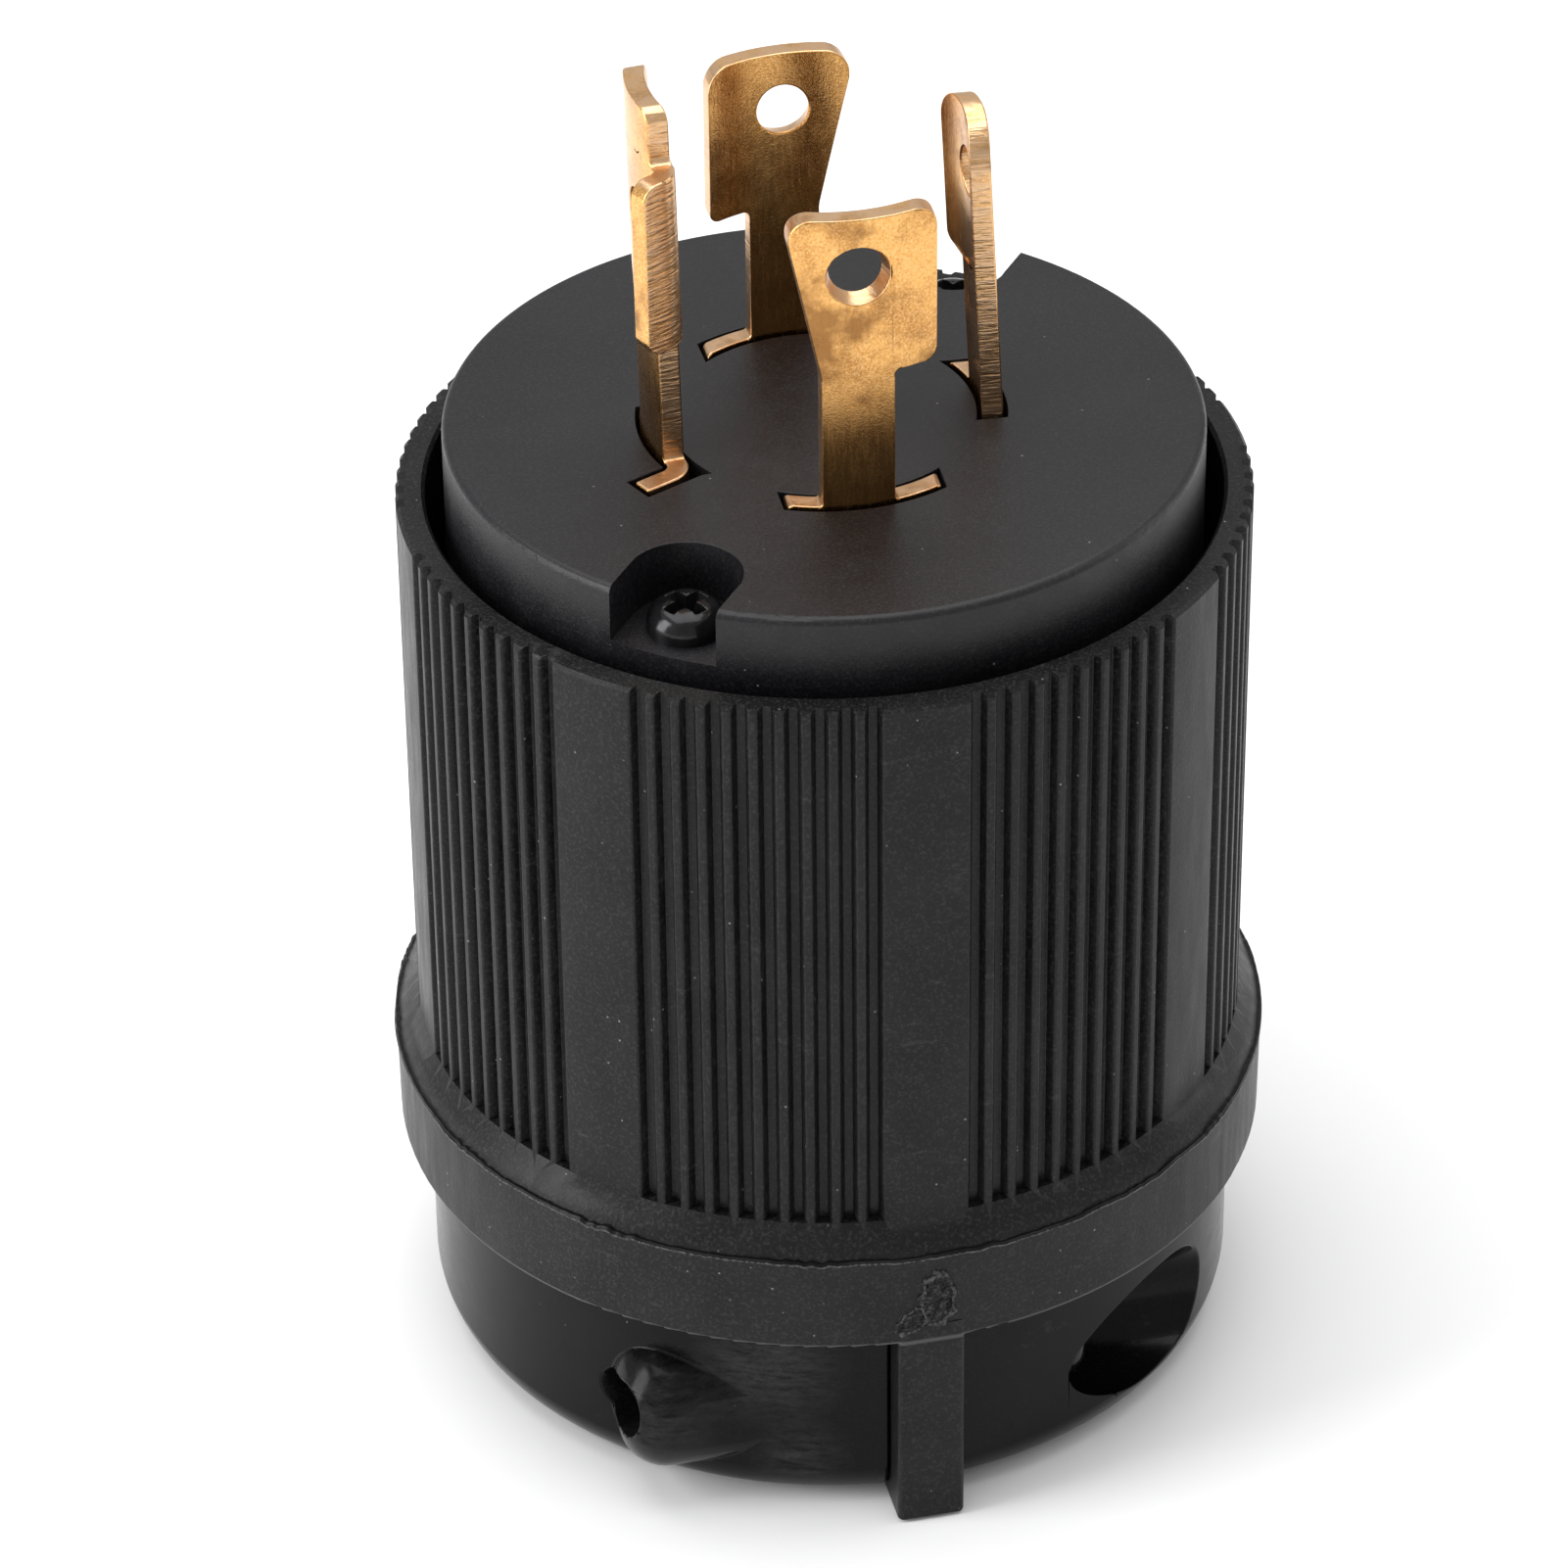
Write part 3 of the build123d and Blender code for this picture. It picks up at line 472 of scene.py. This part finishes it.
# corners: CAD place and radius, new place and radius, outward signs
liveCorners = [
    ((2.45, 9.85, 0.8), (2.45, 10.0, 0.45), (-1, 1)),
    ((5.15, 9.85, 1.2), (5.45, 10.0, 0.85), (1, -1)),
    ((5.15, 21.6, 1.8), (5.45, 21.6, 1.7), (1, 1)),
]
neutralCorners = [
    ((2.45, 9.85, 0.8), (2.45, 10.0, 0.45), (-1, 1)),
    ((4.4, 9.85, 1.2), (4.4, 10.0, 0.85), (1, -1)),
    ((4.4, 21.6, 1.8), (4.4, 22.1, 2.5), (1, 1)),
    ((-2.45, 21.6, 2.6), (-2.45, 22.1, 3.8), (-1, 1)),
]
# angle, circle's radius, lean, rise and corners
bladeSpots = {
    "blade_line_x": (268.0, 11.48, 0.0, 21.6, liveCorners), "blade_line_y": (91.0, 11.48, 0.0, 21.6, liveCorners),
    "blade_neutral": (356.2, 11.33, -1.1, 21.6, neutralCorners), "blade_ground": (185.75, 11.65, 0.6, 26.45, []),
}


def reshapeBlade(name, shape, angle, circle, lean, rise, corners):
    bm = mergedCopy(name)
    turn = Matrix.Rotation(math.radians(angle), 3, "Z")
    back = turn.inverted()
    slack = shape["slack"]
    hookLow, hookHigh = shape["hookZone"]
    lipLow, lipHigh = shape["lipZone"]
    for vert in bm.verts:
        x, t, h = back @ vert.co / mm
        h -= shape["face"]
        slant = lean * max(h, 0) / rise
        radius = math.hypot(x - slant, t)
        newT, newH = t, h
        for (ct, ch, cr), (nt, nh, nr), (signT, signH) in corners:
            dt, dh = t - (ct - signT * cr), h - (ch - signH * cr)
            if abs(math.hypot(dt, dh) - cr) < slack and dt * signT > -slack and dh * signH > -slack:
                newT, newH = nt - signT * nr + dt * nr / cr, nh - signH * nr + dh * nr / cr
                break
            if abs(h - ch) < slack and (ch > shape["topFrom"] or t > shape["hookFrom"]):
                newH = nh    # points along a straight end, kept between its two corners
                ends = [(old[0] - sign[0] * old[2], new[0] - sign[0] * new[2])
                        for old, new, sign in corners if old[1] == ch]
                if len(ends) == 2:
                    (o1, n1), (o2, n2) = ends
                    newT = n1 + (t - o1) / (o2 - o1) * (n2 - n1)
        dh = h - shape["holeHeight"]
        if abs(math.hypot(t, dh) - shape["holeCad"]) < shape["holeSlack"] and radius < circle:
            share = shape["holeInner"] / shape["holeCad"]
            newT, newH = t * share, shape["holeHeight"] + dh * share
        if not corners:
            out = 0
            if hookLow < h < hookHigh:
                newH = h + shape["hookUnder"] - shape["hookCad"]
            if t > 0 and lipLow < h < lipHigh:
                newH = h + shape["lipTopUp"]
            if radius > shape["lipFrom"] and hookLow < h < lipHigh:
                out = shape["lipEndOut"]
            if newH != h or out:
                leg = Vector((x - slant, t)).normalized() * out
                x, t = x + leg.x + lean * (newH - h) / rise, t + leg.y
                vert.co = turn @ Vector((x, t, newH + shape["face"])) * mm
                continue
        if (newT, newH) != (t, h):
            x = math.sqrt(radius ** 2 - newT ** 2) + lean * max(newH, 0) / rise
            vert.co = turn @ Vector((x, newT, newH + shape["face"])) * mm
    roundEdges(bm, shape["edgeRound"], 3)
    piece = addPiece(name + "Shaped", bm, slotOf[name], (name,))
    sheetShade(piece, angle, circle, lean, rise, shape["face"], shape["thick"])
    return piece


for name, spot in bladeSpots.items():
    reshapeBlade(name, bladeShape, *spot)
print("blades shaped")


# Core: the edges of its face and of the openings in it
coreShape = {
    "face": 71.7,
    "edgeRound": 0.09,
    "reach": 25.0,      # edges farther from the axis belong to the rim and stay as they are
    "slack": 0.01,
}


def shapeCore(shape):
    bm = mergedCopy("blade_carrier")

    def onFace(edge):
        low = (shape["face"] - shape["slack"]) * mm
        return all(v.co.z > low and v.co.xy.length < shape["reach"] * mm for v in edge.verts)

    roundEdges(bm, shape["edgeRound"], 2, onFace)
    return evenShade(addPiece("coreShaped", bm, slotOf["blade_carrier"], ("blade_carrier",)))


shapeCore(coreShape)


# Sleeve: ribs with softened crests, the wavy moulding line, and the gate's scar on the band
sleeveShape = {
    "ribRound": 0.07,
    "ribFoot": 25.45,              # where the ribs start
    "lineHeight": 23.1, "lineRadius": 30.65, "lineProud": 0.17, "lineWave": 0.15, "lineThick": 0.30,
    "lineRoot": 0.3,               # how deep the line's strip is set into the band
    "lineSteps": 1200,
    # scars: angle in degrees, then low, high, half width, height and slant in mm
    "scars": [(270.7, 16.6, 22.2, 1.5, 0.20, 0.0), (267.6, 16.4, 19.2, 1.3, 0.10, 0.9)],
    "scarGrid": (44, 70),
    "scarSet": 0.05, "scarSunk": 0.25, "scarThick": 0.4,    # set into the band, sunk outside, and thickness
}


def addScar(bm, shape, angle, low, high, half, proud, lean):
    # a torn patch: a small grid laid on the band, sunk outside its ragged outline, and given a back
    across, along = shape["scarGrid"]
    sunk = -shape["scarSunk"]
    made = bmesh.ops.create_grid(bm, x_segments=across, y_segments=along, size=1)
    mark = bm.verts.layers.float["mark"]
    paintedShade = bm.verts.layers.float["paintedShade"]
    middle, rise = (low + high) / 2, (high - low) / 2
    for vert in made["verts"]:
        u, v = vert.co.x, vert.co.y
        seedling = Vector((angle, low, 3))
        edge = noise.noise(Vector((u * 2.3, v * 3.1, 0)) + seedling)
        inside = 0.84 + 0.18 * edge - math.hypot(u, v)
        coarse = noise.noise(Vector((u * 3, v * 5, 5)) + seedling)
        fine = noise.noise(Vector((u * 8, v * 15, 9)) + seedling)
        ragged = coarse + 0.7 * fine
        rim = math.exp(-((inside - 0.08) / 0.07) ** 2)
        lift = proud * (0.45 + 0.9 * ragged + 0.6 * rim) if inside > 0 else sunk
        radius = shape["lineRadius"] - shape["scarSet"] + max(lift, sunk)
        turn = math.radians(angle) + (u * half + v * lean) / radius
        vert[mark] = max(0.0, min(1.0, 1.6 * rim + max(0.0, ragged))) if inside > 0 else 0.0
        # painted shade in the scar's low pits
        vert[paintedShade] = 1.0 if 0 < inside and ragged < -0.25 and rim < 0.5 else 0.0
        vert.co = Vector((radius * math.cos(turn), radius * math.sin(turn), middle + v * rise)) * mm
    mine = set(made["verts"])
    faces = [f for f in bm.faces if all(v in mine for v in f.verts)]
    made = bmesh.ops.extrude_face_region(bm, geom=faces, use_keep_orig=True)
    for vert in [g for g in made["geom"] if isinstance(g, bmesh.types.BMVert)]:
        vert.co -= Vector((vert.co.x, vert.co.y, 0)).normalized() * shape["scarThick"] * mm


def shapeSleeve(shape):
    bm = mergedCopy("ribbed_sleeve")

    def alongRib(edge):
        a, b = (v.co for v in edge.verts)
        aboveFoot = min(a.z, b.z) > shape["ribFoot"] * mm - 0.0001
        return aboveFoot and (a.xy - b.xy).length < 0.0001 and abs(a.z - b.z) > 0.001

    roundEdges(bm, shape["ribRound"], 2, alongRib, 30)
    # layers for pale marks and for painted shade
    bm.verts.layers.float.new("mark")
    bm.verts.layers.float.new("paintedShade")
    mark = bm.verts.layers.float["mark"]
    paintedShade = bm.verts.layers.float["paintedShade"]
    rings = []
    for step in range(shape["lineSteps"]):
        turn = math.tau * step / shape["lineSteps"]
        flow = Vector((math.cos(turn), math.sin(turn), 0))
        torn = max(0.0, noise.noise(flow * 5 + Vector((0, 0, 8))) + 0.15)
        wave = (noise.noise(flow * 9) + (0.3 + torn * 1.6) * noise.noise(flow * 55)) * shape["lineWave"]
        proud = shape["lineProud"] * (0.5 + 1.3 * torn)
        half = shape["lineThick"] / 2
        ring = []
        root = -shape["lineRoot"]
        # a pale burr below and, above it, a gap darkened by painted shade: out, up, pale and painted shade
        for out, up, pale, gap in ((root, -half, 0, 0), (proud * 0.8, -half, 1, 0), (proud, 0, 1, 0),
                                   (proud * 0.6, half * 0.3, 0, 1), (0.04, half * 1.4, 0, 1),
                                   (root, half * 1.5, 0, 0)):
            place = flow * (shape["lineRadius"] + out) + Vector((0, 0, shape["lineHeight"] + wave + up))
            vert = bm.verts.new(place * mm)
            vert[mark] = pale
            vert[paintedShade] = gap
            ring.append(vert)
        rings.append(ring)
    for ring, after in zip(rings, rings[1:] + rings[:1]):
        for side in range(len(ring)):
            following = (side + 1) % len(ring)
            bm.faces.new((ring[side], after[side], after[following], ring[following]))
    for scar in shape["scars"]:
        addScar(bm, shape, *scar)
    return evenShade(addPiece("sleeveShaped", bm, slotOf["ribbed_sleeve"], ("ribbed_sleeve",)))


shapeSleeve(sleeveShape)
print("core and sleeve shaped")


# Rear housing: turned shell with insert bosses, the cord clamp's cavity, head pockets, and a round boss
# with an oval hole at the blind end of each clamp screw
housingShape = {
    # the turned shell: radii and heights
    "radius": 28.5, "corner": 3.8, "socketTop": 20.75, "neck": 26.85, "rim": 44.0, "chamber": 23.85,
    "base": 14.0, "entry": 9.5, "floor": 1.8, "steps": 192, "edgeRound": 0.16,
    # bosses for the threaded inserts
    "insertAngles": (232.5, 52.5), "insertCircle": 21.9, "insertBoss": 3.8, "insertHole": 2.45,
    "insertDepth": 6.4,
    # half sizes of the clamp's cavity and of its ears, and the notch for the sleeve's tab
    "cavity": (12.0, 12.5), "ears": (7.4, 24.9), "notchInner": 26.45, "notchHalf": 2.5, "notchTop": 17.4,
    # the clamp screws' line, head pockets and nut seats
    "clampY": 21.6, "clampZ": 7.25, "pocket": 4.7, "pocketFloor": 10.5, "screwHole": 1.9,
    "nutFlats": 6.1, "nutFloor": 9.85, "nutTurn": math.pi / 2,
    # the round boss and its leaning oval hole, in degrees where it leans
    "boss": 4.9, "bossEnd": 20.3, "bossRound": 3.2,
    "holeLength": 6.1, "holeWidth": 4.0, "holeShift": 0.7, "holeLift": 0.5, "holeLean": 14.0,
    "holeFloor": 12.0,
    # how far tools run past what they cut or join, and a place outside the shell
    "past": 2, "cavityPast": 3, "outside": 40,
}


def rounded(corner, before, after, radius, steps=8):
    # points of an arc in place of a corner of a profile
    to = (Vector(before) - Vector(corner)).normalized()
    on = (Vector(after) - Vector(corner)).normalized()
    half = to.angle(on) / 2
    centre = Vector(corner) + (to + on).normalized() * radius / math.sin(half)
    first = Vector(corner) + to * radius / math.tan(half) - centre
    last = Vector(corner) + on * radius / math.tan(half) - centre
    turn = first.angle_signed(last)
    return [centre + Matrix.Rotation(-turn * k / steps, 2) @ first for k in range(steps + 1)]


def makeSolid(bm):
    bmesh.ops.remove_doubles(bm, verts=bm.verts, dist=mergeGap)
    bmesh.ops.recalc_face_normals(bm, faces=bm.faces)
    mesh = bpy.data.meshes.new("solid")
    bm.to_mesh(mesh)
    bm.free()
    solid = bpy.data.objects.new("solid", mesh)
    scene.collection.objects.link(solid)
    return solid


def turned(points, steps, place=None):
    # profile of (radius, height) points spun about the Z axis
    bm = bmesh.new()
    verts = [bm.verts.new((r * mm, 0, z * mm)) for r, z in points]
    edges = [bm.edges.new((a, b)) for a, b in zip(verts, verts[1:] + verts[:1])]
    bmesh.ops.spin(bm, geom=verts + edges, cent=(0, 0, 0), axis=(0, 0, 1), angle=math.tau, steps=steps,
                   use_merge=True)
    if place:
        bmesh.ops.transform(bm, matrix=place, verts=bm.verts)
    return makeSolid(bm)


def rod(place, radius, length, segments=64):
    bm = bmesh.new()
    bmesh.ops.create_cone(bm, cap_ends=True, segments=segments, radius1=radius * mm, radius2=radius * mm,
                          depth=length * mm, matrix=place)
    return makeSolid(bm)


def alongX(y, z, start, end, radius, segments=64, turn=0.0):
    place = Matrix.Translation(((start + end) / 2 * mm, y * mm, z * mm))
    place = place @ Matrix.Rotation(math.pi / 2, 4, "Y") @ Matrix.Rotation(turn, 4, "Z")
    return rod(place, radius, abs(end - start), segments)


def upRod(angle, circle, radius, low, high):
    a = math.radians(angle)
    middle = (circle * math.cos(a) * mm, circle * math.sin(a) * mm, (low + high) / 2 * mm)
    return rod(Matrix.Translation(middle), radius, high - low)


def block(low, high):
    bm = bmesh.new()
    low, high = Vector(low) * mm, Vector(high) * mm
    place = Matrix.Translation((low + high) / 2) @ Matrix.Diagonal((*(high - low), 1))
    bmesh.ops.create_cube(bm, size=1, matrix=place)
    return makeSolid(bm)


def ovalRod(y, z, lean, length, width, start, end):
    # stadium outline across the X axis, lengthened along it
    bm = bmesh.new()
    points = []
    reach, steps = (length - width) / 2, 24
    for side in (1, -1):
        for k in range(steps + 1):
            a = math.pi * (k / steps - 0.5)
            points.append(Vector((side * (reach + width / 2 * math.cos(a)), side * width / 2 * math.sin(a))))
    turn = Matrix.Rotation(lean, 2)
    verts = []
    for point in points:
        v, w = turn @ point
        verts.append(bm.verts.new((start * mm, (y + v) * mm, (z + w) * mm)))
    made = bmesh.ops.extrude_face_region(bm, geom=[bm.faces.new(verts)])
    moved = [g for g in made["geom"] if isinstance(g, bmesh.types.BMVert)]
    bmesh.ops.translate(bm, vec=((end - start) * mm, 0, 0), verts=moved)
    return makeSolid(bm)


def combine(body, tool, operation):
    # joins or cuts the tool, which is used up
    step = body.modifiers.new("step", "BOOLEAN")
    step.operation = operation
    step.solver = "EXACT"
    step.object = tool
    bpy.context.view_layer.update()
    made = bpy.data.meshes.new_from_object(body.evaluated_get(bpy.context.evaluated_depsgraph_get()))
    body.modifiers.clear()
    body.data = made
    bpy.data.objects.remove(tool)


def opened(body):
    # the finished solid as faces again, for its edges; the object is used up
    bm = bmesh.new()
    bm.from_mesh(body.data)
    bpy.data.objects.remove(body)
    return mergeFaces(bm, cutMergeGap)


def shapeHousing(shape):
    past, outside = shape["past"], shape["outside"]
    wall = shape["radius"]
    corner = rounded((wall, 0), (0, 0), (wall, 9), shape["corner"], 12)
    body = turned([(shape["entry"], 0)] + [tuple(p) for p in corner] + [
        (wall, shape["socketTop"]), (shape["neck"], shape["socketTop"]), (shape["neck"], shape["rim"]),
        (shape["chamber"], shape["rim"]), (shape["chamber"], shape["base"]), (shape["entry"], shape["base"])],
        shape["steps"])
    for angle in shape["insertAngles"]:
        circle, top = shape["insertCircle"], shape["rim"]
        combine(body, upRod(angle, circle, shape["insertBoss"], shape["base"] - past, top), "UNION")
        combine(body, upRod(angle, circle, shape["insertHole"], top - shape["insertDepth"], top + past),
                "DIFFERENCE")
    for half in ("cavity", "ears"):
        hx, hy = shape[half]
        combine(body, block((-hx, -hy, shape["floor"]), (hx, hy, shape["base"] + shape["cavityPast"])),
                "DIFFERENCE")
    half = shape["notchHalf"]
    combine(body, block((-half, -outside, -past), (half, -shape["notchInner"], shape["notchTop"])),
            "DIFFERENCE")
    for side in (-1, 1):
        y, z = side * shape["clampY"], shape["clampZ"]
        end = shape["bossEnd"]
        rim = rounded((shape["boss"], end), (shape["boss"], 0), (0, end), shape["bossRound"], 10)
        place = Matrix.Translation((0, y * mm, z * mm)) @ Matrix.Rotation(-math.pi / 2, 4, "Y")
        combine(body, turned([(0, shape["ears"][0] + 0.1), (shape["boss"], shape["ears"][0] + 0.1)]
                             + [tuple(p) for p in rim] + [(0, end)], 96, place), "UNION")
        combine(body, alongX(y, z, shape["pocketFloor"], outside, shape["pocket"], 96), "DIFFERENCE")
        combine(body, alongX(y, z, 0, shape["pocketFloor"] + 1, shape["screwHole"], 48), "DIFFERENCE")
        combine(body, alongX(y, z, -shape["nutFloor"], 0, shape["nutFlats"] / math.sqrt(3), 6, shape["nutTurn"]),
                "DIFFERENCE")
        combine(body, ovalRod(y + side * shape["holeShift"], z + shape["holeLift"],
                              side * math.radians(shape["holeLean"]), shape["holeLength"], shape["holeWidth"],
                              -shape["holeFloor"], -outside), "DIFFERENCE")
    bm = opened(body)
    roundEdges(bm, shape["edgeRound"], 2, None, 38)
    return evenShade(addPiece("housingShaped", bm, slotOf["rear_housing"], ("rear_housing",)))


shapeHousing(housingShape)
print("rear housing shaped")


# Screws: domed pan heads with a cross recess that narrows towards its floor
screwShape = {
    # shares of the head's radius or height
    "domeFlat": 0.40, "domeFoot": 0.28, "crossLength": 1.36, "crossWidth": 0.40, "crossTaper": 0.42,
    "crossFloor": 0.18, "roundFrom": 0.4,
    "crossAbove": 0.3,            # how far the cross tool stands over the head, in mm
    "edgeRound": 0.10,
    "steps": 64, "domeSteps": 12,
}
assemblySeat = 67.6               # height of the assembly screws' seats
assemblySizes = (1.5, 29.1, 2.6, 1.95)    # shank radius and length, head radius and height
clampSizes = (1.75, 20.3, 3.0, 2.4)
quarter = Matrix.Rotation(math.pi / 2, 4, "Y")


def overInsert(shape, angle):
    a = math.radians(angle)
    return (shape["insertCircle"] * math.cos(a), shape["insertCircle"] * math.sin(a), assemblySeat)


def inPocket(shape, side):
    return (shape["pocketFloor"], side * shape["clampY"], shape["clampZ"])


frontAngle, backAngle = housingShape["insertAngles"]
screwSpots = {
    # seat's place, tilt from upright, turn about the screw's axis in degrees, and sizes
    "assembly_screw_front": (overInsert(housingShape, frontAngle), None, 30, *assemblySizes),
    "assembly_screw_back": (overInsert(housingShape, backAngle), None, 30, *assemblySizes),
    "clamp_screw_front": (inPocket(housingShape, -1), quarter, 20, *clampSizes),
    "clamp_screw_back": (inPocket(housingShape, 1), quarter, 65, *clampSizes),
}


def shapeScrew(name, shape, seat, tilt, turn, shank, length, head, height):
    flat, foot = shape["domeFlat"], shape["domeFoot"]
    dome = []
    for k in range(shape["domeSteps"] + 1):
        a = math.pi / 2 * k / shape["domeSteps"]
        dome.append((head * (flat + (1 - flat) * math.cos(a)), height * (foot + (1 - foot) * math.sin(a))))
    body = turned([(0, -length), (shank, -length), (shank, 0), (head, 0)] + dome + [(0, height)], shape["steps"])
    for arm in (0, 90):
        bm = bmesh.new()
        low, high = height * shape["crossFloor"], height + shape["crossAbove"]
        bmesh.ops.create_cube(bm, size=1)
        for vert in bm.verts:
            share = shape["crossTaper"] if vert.co.z < 0 else 1.0
            vert.co = Vector((vert.co.x * head * shape["crossLength"] * share,
                              vert.co.y * head * shape["crossWidth"] * share, low if vert.co.z < 0 else high)) * mm
        bmesh.ops.rotate(bm, verts=bm.verts, cent=(0, 0, 0), matrix=Matrix.Rotation(math.radians(arm), 3, "Z"))
        combine(body, makeSolid(bm), "DIFFERENCE")

    def onHead(edge):
        return all(v.co.z > height * shape["roundFrom"] * mm for v in edge.verts)

    bm = opened(body)
    roundEdges(bm, shape["edgeRound"], 2, onHead, 25)
    place = Matrix.Translation(Vector(seat) * mm) @ (tilt or Matrix())
    place = place @ Matrix.Rotation(math.radians(turn), 4, "Z")
    bmesh.ops.transform(bm, matrix=place, verts=bm.verts)
    return evenShade(addPiece(name + "Shaped", bm, slotOf[name], (name,)), False)


for name, spot in screwSpots.items():
    shapeScrew(name, screwShape, *spot)
print("screws shaped")


floorLook = {
    "size": 6.0,                 # in metres
    "tone": (0.94, 0.94, 0.94), "cloudTone": (0.95, 0.95, 0.95), "cloudScale": 3, "roughness": 0.9,
}
floorMaterial, floorTree, floorShader = startMaterial("paleFloor")
floorWhere = floorTree.nodes.new("ShaderNodeTexCoord").outputs["Object"]
floorCloud = addNoise(floorTree, floorWhere, floorLook["cloudScale"], 2)
floorTone = addBlend(floorTree, floorCloud, floorLook["tone"], floorLook["cloudTone"])
floorTree.links.new(floorTone, floorShader.inputs["Base Color"])
floorShader.inputs["Roughness"].default_value = floorLook["roughness"]
floorMesh = bmesh.new()
bmesh.ops.create_grid(floorMesh, x_segments=1, y_segments=1, size=floorLook["size"])
floorData = bpy.data.meshes.new("floor")
floorMesh.to_mesh(floorData)
floorMesh.free()
floorData.materials.append(floorMaterial)
floor = bpy.data.objects.new("floor", floorData)
scene.collection.objects.link(floor)

lightLook = [
    # name, place, aim, size, power, all in metres and watts
    ("topPanel", (0.0, 0.15, 0.9), (0, 0, 0.05), (0.9, 0.9), 6.5),
    ("leftPanel", (-0.75, -0.05, 0.35), (0, 0, 0.05), (0.35, 0.8), 6.0),
    ("rightPanel", (0.75, 0.05, 0.35), (0, 0, 0.05), (0.35, 0.8), 1.0),
]
for name, place, aim, size, power in lightLook:
    data = bpy.data.lights.new(name, "AREA")
    data.shape = "RECTANGLE"
    data.size, data.size_y = size
    data.energy = power
    lamp = bpy.data.objects.new(name, data)
    lamp.location = place
    lamp.rotation_euler = (Vector(aim) - Vector(place)).to_track_quat("-Z", "Y").to_euler()
    scene.collection.objects.link(lamp)

worldLook = {"tone": (1, 1, 1, 1), "strength": 0.6}
world = bpy.data.worlds.new("studio")
world.use_nodes = True
sky = world.node_tree.nodes["Background"]
sky.inputs["Color"].default_value = worldLook["tone"]
sky.inputs["Strength"].default_value = worldLook["strength"]
scene.world = world
scene.view_settings.view_transform = "Standard"
print("stage lit")
